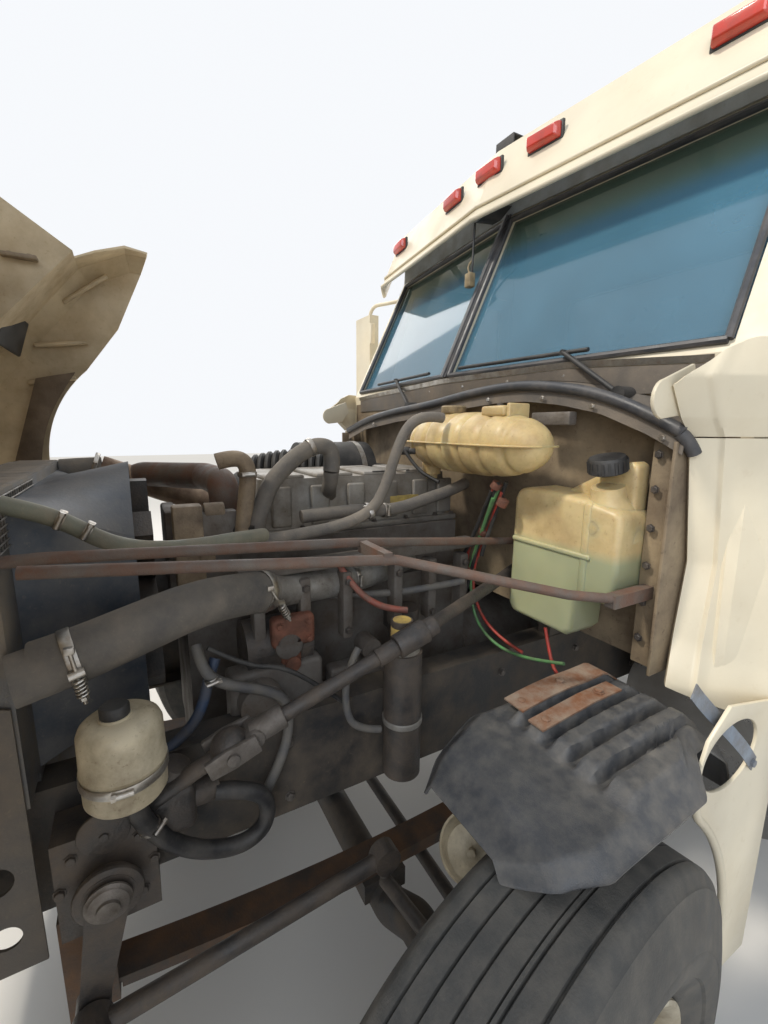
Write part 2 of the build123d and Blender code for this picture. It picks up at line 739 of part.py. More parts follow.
# Engine and gearbox as one block, with the head and the pan
engine_front_y = front_axle_y - 440.0
engine_rear_y = front_axle_y + 470.0
with BuildPart() as engine_block:
    add(block(-210, 210, engine_front_y, engine_rear_y, 760, 1250))
    add(block(-150, 150, engine_front_y, engine_rear_y - 20, 560, 760))
    add(block(-190, 170, engine_front_y + 30, engine_rear_y - 20, 1250, 1400))
    with BuildSketch(section_at(engine_rear_y)):
        with Locations((0, crank_z)):
            Circle(245)
    extrude(amount=-110)
    with BuildSketch(section_at(engine_rear_y + 110)):
        with Locations((0, crank_z)):
            Circle(185)
    extrude(amount=-(gearbox_end_y - engine_rear_y - 110))
    for side in (1, -1):
        for y in (engine_front_y + 60, engine_rear_y + 20):
            add(block(side * 200, side * (rail_outer - rail_wall - seat_gap), y, y + 80, 800, 880))
finish(engine_block, "engine_block")

cover_front_y = front_axle_y - 230.0
cover_rear_y = front_axle_y + 450.0
with BuildPart() as valve_cover:
    with BuildSketch(Plane.XY.offset(1400)):
        with Locations((-10, (cover_front_y + cover_rear_y) / 2)):
            RectangleRounded(290, cover_rear_y - cover_front_y, 40)
    extrude(amount=165, taper=5)
finish(valve_cover, "valve_cover")

filter_x = 487.0
filter_radius = 50.0
with BuildPart() as engine_accessories:
    with BuildSketch(section_at(front_axle_y - 320)):
        with Locations((285, 1150)):
            Circle(72)
    extrude(amount=-170)
    add(block(210 + seat_gap, 285, front_axle_y - 290, front_axle_y - 180, 1085, 1110))
    with BuildSketch(Plane.XY.offset(960)):
        with Locations((285, front_axle_y + 170)):
            Circle(48)
    extrude(amount=210)
    add(block(210, 285, front_axle_y + 140, front_axle_y + 200, 1090, 1150))
    # fuel filter on its bracket outside the left rail
    with BuildSketch(Plane.XY.offset(800)):
        with Locations((filter_x, front_axle_y + 45)):
            Circle(filter_radius)
    extrude(amount=350)
    with BuildSketch(Plane.XY.offset(1150)):
        with Locations((filter_x - 15, front_axle_y + 50)):
            Circle(28)
    extrude(amount=75)
    add(block(rail_outer + seat_gap, filter_x, front_axle_y + 25, front_axle_y + 65, 880, 960))
    # fan hub and blades
    with BuildSketch(section_at(engine_front_y)):
        with Locations((0, fan_z)):
            Circle(80)
    extrude(amount=110)
    with BuildSketch(section_at(engine_front_y - 60)):
        with Locations((0, fan_z)):
            with PolarLocations(180, 8):
                Rectangle(220, 70)
    extrude(amount=40)
    # turbocharger and exhaust manifold on the right
    add(block(-280, -210, front_axle_y - 260, front_axle_y + 380, 1180, 1248))
    with BuildSketch(section_at(turbo_front_y)):
        with Locations((turbo_x, turbo_z)):
            Circle(95)
    extrude(amount=turbo_front_y - turbo_rear_y)
finish(engine_accessories, "engine_accessories")

pack_face_y = pack_y + 110 + seat_gap
clamp_y = cab_seat(812, 838, 1322, 1352)
with BuildPart() as engine_pipes:
    # charge pipe from the cooler's right tank to the top of the head
    add(pipe_run([(-450, pack_face_y, 1480), (-450, pack_face_y + 90, 1480), (-390, front_axle_y - 500, 1550),
                  (-120, front_axle_y - 330, 1560), (100, front_axle_y - 310, 1560), (100, front_axle_y - 310, 1400 + seat_gap)],
                 84, 50))
    # two steel lines that run aft above the engine's left side
    add(pipe_run([(480, pack_face_y, 1490), (480, pack_face_y + 60, 1490), (500, front_axle_y - 100, 1455),
                  (400, cab_face(400, 1370) - 90, 1370), (400, cab_face(400, 1370) - 3, 1370)], 22, 60))
    add(pipe_run([(560, front_axle_y - 700, 1490), (620, front_axle_y - 60, 1440),
                  (790, front_axle_y + 280, 1358), (826, front_axle_y + 385, 1342)], 22, 60))
    add(block(500, 625, front_axle_y - 90, front_axle_y - 70, 1432, 1458))
    # clamp bracket of the outer line on the cab's corner
    add(block(812, 838, front_axle_y + 375, clamp_y, 1322, 1352))
finish(engine_pipes, "engine_pipes")

with BuildPart() as engine_hoses:
    add(pipe_run([(448, pack_face_y, 1285), (448, pack_face_y + 70, 1285), (475, front_axle_y - 480, 1345),
                  (330, front_axle_y - 150, 1300), (300, front_axle_y + 190, 1300),
                  (170 + seat_gap, front_axle_y + 190, 1300)], 96, 60))
    add(pipe_run([(452, pack_face_y, 1425), (452, pack_face_y + 70, 1425), (430, front_axle_y - 480, 1440),
                  (300, front_axle_y - 340, 1370), (170 + seat_gap, front_axle_y - 340, 1370)], 50, 45))
finish(engine_hoses, "engine_hoses")

# Air cleaner on the right of the engine bay
with BuildPart() as air_cleaner:
    with BuildSketch(section_at(front_axle_y + 120)):
        with Locations((-560, 1500)):
            Circle(150)
    extrude(amount=-330)
    add(pipe_run([(-560, front_axle_y + 125, 1500), (-560, front_axle_y - 120, 1490),
                  (turbo_x, turbo_front_y - 190, turbo_z), (turbo_x, turbo_front_y - seat_gap, turbo_z)], 110, 62))
    add(block(-640, -480, front_axle_y + 440, cab_seat(-640, -480, 1460, 1540), 1460, 1540))
finish(air_cleaner, "air_cleaner")

# Tanks in the engine bay
surge_x = 322.0
surge_length = 585.0
bottle_x = 632.0
bottle_length = 334.0
surge_low_z = 1578.0
surge_high_z = 1763.0
with BuildPart() as surge_tank:
    with BuildSketch(Plane.XY.offset(surge_low_z)):
        with Locations((surge_x, front_axle_y + 380)):
            RectangleRounded(surge_length, 190, 50)
    extrude(amount=surge_high_z - surge_low_z)
    with BuildSketch(Plane.XY.offset(surge_high_z)):
        with Locations((230, front_axle_y + 380)):
            Circle(40)
    extrude(amount=22)
    for x in (140, 450):
        add(block(x - 15, x + 15, front_axle_y + 460, cab_seat(x - 15, x + 15, 1640, 1700), 1640, 1700))
finish(surge_tank, "surge_tank")

with BuildPart() as washer_bottle:
    with BuildSketch(section_at(front_axle_y + 550)):
        with BuildLine():
            Polyline((bottle_x - bottle_length / 2, 1180), (bottle_x + bottle_length / 2, 1180),
                     (bottle_x + bottle_length / 2, 1640), (bottle_x + 20, 1640), (bottle_x - 20, 1555),
                     (bottle_x - bottle_length / 2, 1540), close=True)
        make_face()
    extrude(amount=125)
    with BuildSketch(Plane.XY.offset(1640)):
        with Locations((bottle_x + 95, front_axle_y + 475)):
            Circle(42)
    extrude(amount=24)
    add(block(660, 740, front_axle_y + 530, cab_seat(660, 740, 1500, 1560), 1500, 1560))
finish(washer_bottle, "washer_bottle")

reservoir_x = 600.0
reservoir_y = front_axle_y - 585.0
with BuildPart() as fluid_reservoir:
    with BuildSketch(Plane.XY.offset(1085)):
        with Locations((reservoir_x, reservoir_y)):
            Circle(67)
    extrude(amount=150)
    with BuildSketch(Plane.XY.offset(1235)):
        with Locations((reservoir_x, reservoir_y)):
            Circle(34)
    extrude(amount=24)
    add(block(rail_outer - 60, rail_outer - 30, reservoir_y - 25, reservoir_y + 25, rail_top + seat_gap, 1160))
    add(block(rail_outer - 60, reservoir_x - 40, reservoir_y - 25, reservoir_y + 25, 1140, 1160))
finish(fluid_reservoir, "fluid_reservoir")


# Cab: plan outlines at a level, right half first, then its mirror
def plan_outline(nose, corner, front_half, side_front, half_width, back, inset):
    """Closed outline of the cab at one level, moved inwards by inset."""
    right = [
        (0, nose + inset),
        (front_half - inset * 0.4, corner + inset),
        (half_width - inset, side_front + inset * 0.4),
        (half_width - inset, back - inset),
    ]
    left = [(-x, y) for x, y in reversed(right[1:])]
    return right + left


def cab_body(inset):
    """Solid cab form between the floor and the roof edge."""
    with BuildPart() as body:
        for lower, upper in zip(cab_levels[:-1], cab_levels[1:]):
            for height, nose, corner, side_front, front_half, half_width in (lower, upper):
                with BuildSketch(Plane.XY.offset(height)):
                    with BuildLine():
                        Polyline(*plan_outline(front_axle_y + nose, front_axle_y + corner, front_half,
                                               front_axle_y + side_front, half_width, cab_back_y, inset), close=True)
                    make_face()
            loft(ruled=True)
    return body.part


with BuildPart() as cab_walls:
    add(cab_body(0))
    add(cab_body(cab_wall), mode=Mode.SUBTRACT)

floor_top = cab_floor_z + floor_thickness
with BuildPart() as cab_floor:
    add(block(-cab_half_width, cab_half_width, firewall_y, cab_back_y, cab_floor_z, floor_top))
    add(cab_body(cab_wall + seat_gap), mode=Mode.INTERSECT)
    for side in (1, -1):
        add(block(side * 400, side * 700, front_axle_y + 1230, front_axle_y + 1560, floor_top, 1430))
        add(block(side * 380, side * 430, firewall_y + 80, cab_back_y - 80, rail_top + seat_gap, cab_floor_z))
finish(cab_floor, "cab_floor")

# Door outline on the cab's side: Y and Z of the corners
door_sill_z = cab_floor_z + 60.0
door_top_z = header_z + 45.0
pillar_y = front_axle_y + 960.0


def door_outline(gap):
    return [
        (door_front_y + gap, door_sill_z + gap),
        (door_rear_y - gap, door_sill_z + gap),
        (door_rear_y - gap, door_top_z - gap),
        (pillar_y + gap, door_top_z - gap),
        (door_front_y + gap, belt_z - 20),
    ]


with BuildPart() as doorway:
    with BuildSketch(side_at(cab_half_width - 150)):
        with BuildLine():
            Polyline(*door_outline(0), close=True)
        make_face()
    extrude(amount=200)
    mirror(about=Plane.YZ)

# Windshield panes: one flat pane each side of the centre post
pane_low_z = belt_z + 25.0
pane_high_z = header_z - 20.0
slope = (cab_levels[2][1] - cab_levels[1][1]) / (header_z - belt_z)
nose_low = front_axle_y + cab_levels[1][1]
corner_low = front_axle_y + cab_levels[1][2]


def screen_plane(side):
    """Plane of one windshield pane: local x runs outwards, local y runs up the glass."""
    out = Vector(side * cab_front_half, corner_low - nose_low, 0)
    up = Vector(0, slope, 1)
    return Plane(origin=(0, nose_low, belt_z), x_dir=out, z_dir=out.cross(up))


def screen_window(side, inset, depth, shift):
    """Solid of one pane outline, depth thick, pushed shift along the plane's normal."""
    plane = screen_plane(side)
    lean = -plane.y_dir.X / plane.x_dir.X
    width = hypot(cab_front_half, corner_low - nose_low)
    height = (header_z - belt_z) * hypot(1, slope)
    low = 28 + inset
    high = height - 28 - inset
    with BuildPart() as pane:
        with BuildSketch(plane.offset(shift)):
            with BuildLine():
                Polyline((22 + inset + lean * low, low), (width - 60 - inset, low),
                         (width - 55 - inset, high), (22 + inset + lean * high, high), close=True)
            make_face()
        extrude(amount=depth)
    return pane.part


with BuildPart() as windscreen_holes:
    for side in (1, -1):
        add(screen_window(side, 0, 300, -150))

with BuildPart() as rear_window_hole:
    with BuildSketch(section_at(cab_back_y - 100)):
        with Locations((0, 2210)):
            RectangleRounded(1100, 480, 60)
    extrude(amount=-200)

with BuildPart() as cab_front_zone:
    add(block(-cab_front_half + 20, cab_front_half - 20, front_axle_y + 300, front_axle_y + 700, cab_floor_z - 10,
              belt_z - 40))

with BuildPart() as cab_firewall:
    add(cab_walls.part)
    add(cab_front_zone.part, mode=Mode.INTERSECT)
finish(cab_firewall, "cab_firewall")

# Door hinges outside the skin: heights of the barrels, pin and barrel radius
hinge_heights = (1330.0, 1740.0)
door_hinge_x = cab_half_width + 12.0
door_hinge_y = door_front_y - 7.0
door_pin_radius = 6.0
barrel_radius = 10.0
barrel_height = 60.0
with BuildPart() as hinge_ears:
    for side in (1, -1):
        for z in hinge_heights:
            for low in (z - barrel_height / 2 - 12.5, z + barrel_height / 2 + 0.5):
                with BuildSketch(Plane.XY.offset(low)):
                    with Locations((side * door_hinge_x, door_hinge_y)):
                        Circle(barrel_radius)
                    with Locations((side * (door_hinge_x - 10), door_hinge_y - 6)):
                        Rectangle(20, 22)
                extrude(amount=12)
            with BuildSketch(Plane.XY.offset(z - barrel_height / 2 - 4)):
                with Locations((side * door_hinge_x, door_hinge_y)):
                    Circle(door_pin_radius)
            extrude(amount=barrel_height + 8)

with BuildPart() as cab_shell:
    add(cab_walls.part)
    add(cab_front_zone.part, mode=Mode.SUBTRACT)
    add(doorway.part, mode=Mode.SUBTRACT)
    add(windscreen_holes.part, mode=Mode.SUBTRACT)
    add(rear_window_hole.part, mode=Mode.SUBTRACT)
    add(hinge_ears.part)
finish(cab_shell, "cab_shell")

with BuildPart() as cab_roof:
    for height, grow in ((roof_z - 60, 0.0), (roof_z, -70.0)):
        with BuildSketch(Plane.XY.offset(height)):
            with BuildLine():
                Polyline(*plan_outline(front_axle_y + 800, front_axle_y + 900, cab_front_half - 30,
                                       front_axle_y + 1005, cab_half_width, cab_back_y, -grow), close=True)
            make_face()
    loft(ruled=True)
finish(cab_roof, "cab_roof")

with BuildPart() as cab_glass:
    # the left pane's normal points forward, the right one's into the cab
    for side, shift in ((1, -20), (-1, 14)):
        add(screen_window(side, seat_gap, glass_thickness, shift))
    with BuildSketch(section_at(cab_back_y - 20)):
        with Locations((0, 2210)):
            RectangleRounded(1100 - 2 * seat_gap, 480 - 2 * seat_gap, 60 - seat_gap)
    extrude(amount=glass_thickness)
finish(cab_glass, "cab_glass")

# Fixed body panels: an upright flange beside each end of the cowl, and a skirt behind each front wheel
flange_x = 876.0
with BuildPart() as cowl_panels:
    with BuildSketch(side_at(flange_x)):
        with BuildLine():
            Polyline((cab_face(flange_x, 1135) - seat_gap - face_bow, 1135), (front_axle_y + 530, 1135), (front_axle_y + 565, 1421),
                     (front_axle_y + 508, 1690), (front_axle_y + 400, 1760), (front_axle_y + 400, 1788),
                     (cab_face(flange_x, 1800) - seat_gap - face_bow, 1800), close=True)
        make_face()
    extrude(amount=6)
    with BuildSketch(side_at(skirt_x)):
        arc_low = (front_axle_y + sqrt(skirt_radius ** 2 - 85 ** 2), hub_z - 85)
        arc_middle = (front_axle_y + sqrt(skirt_radius ** 2 - 228 ** 2), hub_z + 228)
        arc_high = (front_axle_y + skirt_top[0][0], hub_z + sqrt(skirt_radius ** 2 - skirt_top[0][0] ** 2))
        with BuildLine():
            ThreePointArc(arc_low, arc_middle, arc_high)
            Polyline(arc_high, (front_axle_y + skirt_top[0][0], skirt_top[0][1]),
                     (front_axle_y + skirt_top[1][0], skirt_top[1][1]), (front_axle_y + skirt_top[1][0], hub_z - 85),
                     arc_low)
        make_face()
        with Locations((front_axle_y + 585, 985)):
            SlotOverall(150, 60, rotation=12, mode=Mode.SUBTRACT)
    extrude(amount=8)
    add(block(975, skirt_x, front_axle_y + 695, front_axle_y + 735, 1060, cab_floor_z - seat_gap))
    mirror(about=Plane.YZ)
finish(cowl_panels, "cowl_panels")

# Doors with their glass and mirrors
mirror_x = cab_half_width + 235.0
for side, name in ((1, "left"), (-1, "right")):
    inner = cab_half_width - cab_wall
    with BuildPart() as door:
        with BuildSketch(side_at(inner if side > 0 else -cab_half_width)):
            with BuildLine():
                Polyline(*door_outline(door_gap), close=True)
            make_face()
            with BuildLine():
                Polyline((door_front_y + 75, belt_z + 10), (door_rear_y - 75, belt_z + 10),
                         (door_rear_y - 75, door_top_z - 75), (pillar_y + 45, door_top_z - 75), close=True)
            make_face(mode=Mode.SUBTRACT)
        extrude(amount=cab_wall)
        arm_y = door_front_y + 90
        for y, z in ((arm_y + 40, 1800.0), (arm_y + 130, 2460.0)):
            add(pipe_run([(side * (cab_half_width - 10), y, z), (side * (mirror_x - 5), arm_y + 20, z),
                          (side * mirror_x, arm_y + 20, 2100)], 22, 60))
        add(block(side * (mirror_x - 95), side * (mirror_x + 95), arm_y - 30, arm_y + 30, 1860, 2390))
        for z in hinge_heights:
            low = z - barrel_height / 2
            add(block(side * (cab_half_width - 4), side * (door_hinge_x - 2), door_front_y + 11, door_front_y + 55,
                      low + 1, low + barrel_height - 1))
            add(block(side * (cab_half_width + 1.5), side * (door_hinge_x - 2), door_front_y, door_front_y + 12,
                      low + 1, low + barrel_height - 1))
            with BuildSketch(Plane.XY.offset(low)):
                with Locations((side * door_hinge_x, door_hinge_y)):
                    Circle(barrel_radius)
            extrude(amount=barrel_height)
            with BuildSketch(Plane.XY.offset(low)):
                with Locations((side * door_hinge_x, door_hinge_y)):
                    Circle(door_pin_radius + seat_gap)
            extrude(amount=barrel_height, mode=Mode.SUBTRACT)
    finish(door, f"door_{name}")
    with BuildPart() as pane:
        with BuildSketch(side_at(side * (cab_half_width - cab_wall / 2) - glass_thickness / 2)):
            with BuildLine():
                Polyline((door_front_y + 76, belt_z + 10 + seat_gap), (door_rear_y - 75.3, belt_z + 10 + seat_gap),
                         (door_rear_y - 75.3, door_top_z - 75.3), (pillar_y + 45.6, door_top_z - 75.3), close=True)
            make_face()
        extrude(amount=glass_thickness)
    finish(pane, f"door_glass_{name}")

# Dashboard with the steering column and wheel
dash_y = firewall_y + cab_wall
steering_plane = Plane(origin=(550, dash_y + 405, 1755), x_dir=(1, 0, 0), z_dir=(0, 250, 120))
with BuildPart() as dashboard:
    with BuildSketch(side_at(-900)):
        with BuildLine():
            Polyline((dash_y - 120, 1560), (dash_y + 260, 1540), (dash_y + 330, 1640), (dash_y + 250, 1850),
                     (dash_y - 120, 1850), close=True)
        make_face()
    extrude(amount=1800)
    add(cab_body(cab_wall + 2 * seat_gap), mode=Mode.INTERSECT)
    add(rod_between((550, dash_y + 250, 1680), (550, dash_y + 400, 1752), 60))
    with BuildSketch(steering_plane.offset(-12)):
        Circle(232)
        Circle(200, mode=Mode.SUBTRACT)
        Rectangle(420, 44)
        Rectangle(44, 420)
        Circle(60)
    extrude(amount=24)
finish(dashboard, "dashboard")

with BuildPart() as seats:
    for side in (1, -1):
        add(block(side * 310, side * 790, front_axle_y + 1240, front_axle_y + 1700, 1430 + seat_gap, 1560))
        add(block(side * 320, side * 780, front_axle_y + 1600, front_axle_y + 1730, 1560, 2180))
finish(seats, "seats")

# Sun visor over the windshield: a leaning band, bowed to the front, with its brackets
visor_low_z = 2450.0
visor_high_z = 2700.0
visor_lean = 110.0
visor_wall = 8.0


def visor_nose(z):
    """Y of the visor's front at the middle of the cab at a given height."""
    return front_axle_y + 610 + visor_lean * (z - visor_low_z) / (visor_high_z - visor_low_z)


def visor_plan(z):
    """Plan outline of the visor band at one height, right to left and back."""
    nose = visor_nose(z)
    outer = [(1010, nose + 200), (850, nose + 100), (0, nose), (-850, nose + 100), (-1010, nose + 200)]
    return outer + [(x * 0.995, y + visor_wall) for x, y in reversed(outer)]


with BuildPart() as sun_visor:
    for z in (visor_low_z, visor_high_z):
        with BuildSketch(Plane.XY.offset(z)):
            with BuildLine():
                Polyline(*visor_plan(z), close=True)
            make_face()
    loft(ruled=True)
    for x in (-600, 0, 600):
        bracket_end = min(cab_seat(x - 15, x + 15, 2580, 2600), cab_seat(x, x, 2580, 2600))
        add(block(x - 15, x + 15, visor_nose(2600) + 4 + abs(x) * 0.1176, bracket_end, 2580, 2600))
finish(sun_visor, "sun_visor")

# Lamps: markers on the visor and the tail lamps behind the last crossmember
marker_low_z = 2600.0
marker_height = 48.0
tail_lamp_low_z = 800.0
tail_lamp_height = 120.0
with BuildPart() as lamps:
    for x in (-750, -235, 0, 235, 750):
        front = visor_nose(marker_low_z) + 100 * max(abs(x) - 60, 0) / 850 - seat_gap
        add(block(x - 60, x + 60, front - 34, front, marker_low_z, marker_low_z + marker_height))
    for side in (1, -1):
        add(block(side * 560, side * 830, frame_end_y - 40, frame_end_y + 20, tail_lamp_low_z,
                  tail_lamp_low_z + tail_lamp_height))
        add(block(side * (rail_outer + seat_gap), side * 560, frame_end_y - 40, frame_end_y - 10,
                  tail_lamp_low_z + 40, tail_lamp_low_z + 80))
finish(lamps, "lamps")

with BuildPart() as wipers:
    # Wiper table: pivot across, arm's end across, blade's two ends across
    for pivot_x, arm_x, blade_in, blade_out in ((690.0, 500.0, 80.0, 570.0), (-220.0, -400.0, -110.0, -620.0)):
        pivot_face = cab_seat(pivot_x - 14, pivot_x + 14, 1786, 1814)
        with BuildSketch(section_at(pivot_face)):
            with Locations((pivot_x, 1800)):
                Circle(20)
        extrude(amount=48)
        add(rod_between((pivot_x, pivot_face - 38, 1800), (arm_x, cab_face(arm_x, 1925) - 30, 1925), 14))
        add(rod_between((blade_in, cab_face(blade_in, 1925) - 22, 1925),
                        (blade_out, cab_face(blade_out, 1925) - 22, 1925), 12))
        add(rod_between((arm_x, cab_face(arm_x, 1925) - 36, 1925), (arm_x, cab_face(arm_x, 1925) - 18, 1925), 16))
finish(wipers, "wipers")


# Hood, drawn closed and then tilted about its hinge
def hood_centre(inset):
    """Centre body of the hood as a solid; moved inwards by inset it is the room that is cut out of it."""
    nose_y = front_axle_y - hood_nose_ahead + inset
    rear_y = front_axle_y + hood_rear_behind + (1 if inset else 0)
    with BuildPart() as body:
        for y, half, top, side_low in ((nose_y, hood_nose_half, hood_nose_top, 760.0),
                                       (rear_y, hood_rear_half, hood_rear_top, fender_rear_top - 10)):
            low = hood_room_low if inset else side_low
            edge = half - inset
            crown = top - inset
            with BuildSketch(section_at(y)):
                with BuildLine():
                    Polyline((edge, low), (edge, crown - 170), (edge - 110, crown - 40))
                    ThreePointArc((edge - 110, crown - 40), (0, crown), (-edge + 110, crown - 40))
                    Polyline((-edge + 110, crown - 40), (-edge, crown - 170), (-edge, low))
                    Line((-edge, low), (edge, low))
                make_face()
        loft(ruled=True)
    return body.part


def hood_fender(inset):
    """Fender over one front wheel as a solid, moved inwards by inset."""
    with BuildPart() as body:
        with BuildSketch(side_at(380)):
            with BuildLine():
                Polyline((front_axle_y - 1120 + inset, 700), (front_axle_y - 1140 + inset, 1080 - inset),
                         (front_axle_y - 700, 1260 - inset), (front_axle_y - 200, 1350 - inset),
                         (front_axle_y + hood_rear_behind, fender_rear_top - inset),
                         (front_axle_y + 660 - inset, 1200 - inset),
                         (front_axle_y + 722 - inset, 1100), (front_axle_y + 722 - inset, 690),
                         (front_axle_y - 1120 + inset, 690), close=True)
            make_face()
        extrude(amount=fender_outer - inset - 380)
        rail = body.edges().filter_by(Axis.X, reverse=True).group_by(Axis.X)[-1].group_by(Axis.Z)
        chamfer([e for level in rail[3:] for e in level], 60)
    return body.part


with BuildPart() as hood_cutters:
    # wheel arch
    with BuildSketch(side_at(-1400)):
        with Locations((front_axle_y, hub_z)):
            Circle(arch_radius)
        with BuildLine():
            Polyline((front_axle_y, hub_z + arch_radius - 10), (front_axle_y + 360, 1055), (front_axle_y + 900, 1160),
                     (front_axle_y + 900, 400), (front_axle_y, 400), close=True)
        make_face()
    extrude(amount=2800)
    # room for the cab's front corners
    with BuildSketch(Plane.XY.offset(300)):
        with BuildLine():
            Polyline((-cab_half_width - 18, front_axle_y + 2000), (-cab_half_width - 18, front_axle_y + 720),
                     (-cab_front_half - 10, front_axle_y + 548), (-cab_front_half, front_axle_y + 470),
                     (cab_front_half, front_axle_y + 470), (cab_front_half + 10, front_axle_y + 548),
                     (cab_half_width + 18, front_axle_y + 720), (cab_half_width + 18, front_axle_y + 2000), close=True)
        make_face()
    extrude(amount=2000)

# grille opening in the nose
grille_low = 800.0
grille_high = 1480.0
grille_half = 400.0
with BuildPart() as hood_closed:
    add(hood_centre(0))
    both_sides(hood_fender(0))
    add(hood_centre(hood_wall), mode=Mode.SUBTRACT)
    inner_fender = hood_fender(hood_wall)
    add(inner_fender, mode=Mode.SUBTRACT)
    add(inner_fender.mirror(Plane.YZ), mode=Mode.SUBTRACT)
    add(hood_cutters.part, mode=Mode.SUBTRACT)
    add(block(-grille_half, grille_half, front_axle_y - 1300, front_axle_y - 1150, grille_low, grille_high),
        mode=Mode.SUBTRACT)
    add(block(-1400, 1400, front_axle_y - 1400, front_axle_y + 1000, 500, 715), mode=Mode.SUBTRACT)
    add(block(-500, 500, front_axle_y - 1400, front_axle_y - 1000, 500, grille_low - 10), mode=Mode.SUBTRACT)
with BuildPart() as hood_shell:
    add(hood_closed.part.rotate(hood_hinge, hood_open_angle))
finish(hood_shell, "hood_shell")

with BuildPart() as grille_closed:
    y0 = front_axle_y - hood_nose_ahead
    with BuildSketch(section_at(y0)):
        with Locations((0, (grille_low + grille_high) / 2)):
            Rectangle(2 * grille_half - 0.6, grille_high - grille_low - 0.6)
            Rectangle(2 * grille_half - 50, grille_high - grille_low - 50, mode=Mode.SUBTRACT)
    extrude(amount=-25)
    for index in range(14):
        z = grille_low + 40 + index * (grille_high - grille_low - 80) / 13
        add(block(-grille_half + 20, grille_half - 20, y0 + 2, y0 + 20, z - 8, z + 8))
    # hinge arms from the grille surround to the frame
    for side in (1, -1):
        with BuildSketch(side_at(side * 360 - 16)):
            with BuildLine():
                Polyline((y0 + 24, grille_low + 10), (y0 + 24, grille_low + 120), (y0 + 60, grille_low + 60),
                         (hinge_y + 26, hinge_z), (hinge_y, hinge_z - 26), (hinge_y - 26, hinge_z - 6), close=True)
            make_face()
            with Locations((hinge_y, hinge_z)):
                Circle(hinge_pin_radius + seat_gap, mode=Mode.SUBTRACT)
        extrude(amount=32)
with BuildPart() as hood_grille:
    add(grille_closed.part.rotate(hood_hinge, hood_open_angle))
finish(hood_grille, "hood_grille")

with BuildPart() as headlamps_closed:
    for side in (1, -1):
        add(block(side * 640, side * 1020, front_axle_y - 1168, front_axle_y - 1137 - seat_gap, 860, 1020))
with BuildPart() as headlamps:
    add(headlamps_closed.part.rotate(hood_hinge, hood_open_angle))
finish(headlamps, "headlamps")
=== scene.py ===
import bpy
import json
import math
from mathutils import Matrix, Vector


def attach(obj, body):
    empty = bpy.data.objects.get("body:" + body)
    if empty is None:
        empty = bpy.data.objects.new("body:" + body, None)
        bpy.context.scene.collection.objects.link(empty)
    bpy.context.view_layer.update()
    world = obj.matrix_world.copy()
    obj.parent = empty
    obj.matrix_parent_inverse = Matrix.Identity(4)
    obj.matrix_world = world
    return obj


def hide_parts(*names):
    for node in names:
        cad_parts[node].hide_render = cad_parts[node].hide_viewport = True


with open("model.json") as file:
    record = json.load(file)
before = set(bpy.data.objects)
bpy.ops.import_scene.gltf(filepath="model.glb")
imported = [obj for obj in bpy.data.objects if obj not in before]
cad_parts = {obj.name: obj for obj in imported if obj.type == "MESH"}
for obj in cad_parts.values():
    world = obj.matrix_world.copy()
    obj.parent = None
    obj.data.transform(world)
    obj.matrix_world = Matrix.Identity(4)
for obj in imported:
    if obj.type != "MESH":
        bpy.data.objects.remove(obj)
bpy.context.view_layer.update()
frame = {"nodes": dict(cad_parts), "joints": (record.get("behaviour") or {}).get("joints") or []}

joints = {j["name"]: j for j in frame["joints"]}
frontAxleY = joints["steer_left"]["pos_m"][1]
bothSides = ((1, "left"), (-1, "right"))


def at(x, y, z):  # a place counted from the front axle
    return (x, frontAxleY + y, z)


# Camera and lights
cameraSet = {"place": at(1.42, -0.534, 1.713), "yaw": 29.1, "pitch": 10.4, "roll": 0.41, "lens": 16.0}


def placeCamera(s):
    yaw = math.radians(s["yaw"])
    pitch = math.radians(s["pitch"])
    forward = Vector((-math.cos(yaw) * math.cos(pitch), math.sin(yaw) * math.cos(pitch), -math.sin(pitch)))
    right = Vector((math.sin(yaw), math.cos(yaw), 0))
    up = right.cross(forward)
    roll = math.radians(s["roll"])
    rolledRight = right * math.cos(roll) + up * math.sin(roll)
    rolledUp = up * math.cos(roll) - right * math.sin(roll)
    bpy.ops.object.camera_add()
    cam = bpy.context.object
    cam.data.lens = s["lens"]
    cam.data.sensor_width = 36
    cam.data.clip_start = 0.02
    m = Matrix((rolledRight, rolledUp, -forward)).transposed().to_4x4()
    m.translation = Vector(s["place"])
    cam.matrix_world = m
    bpy.context.scene.camera = cam


placeCamera(cameraSet)

lightSet = {
    "sun": {"turn": (38, 8, -28), "strength": 2.3, "angle": 6, "colour": (1.0, 0.93, 0.82)},
    "fill": {"place": at(5.0, -4.0, 4.5), "size": 5.0, "watts": 260, "colour": (0.86, 0.92, 1.0)},
    "back": {"place": at(-6.0, 3.0, 5.0), "size": 6.0, "watts": 220, "colour": (1.0, 0.97, 0.92)},
    "world": {"glow": (0.80, 0.86, 0.95, 1), "strength": 0.55, "seen": (0.93, 0.95, 0.98, 1)},
}


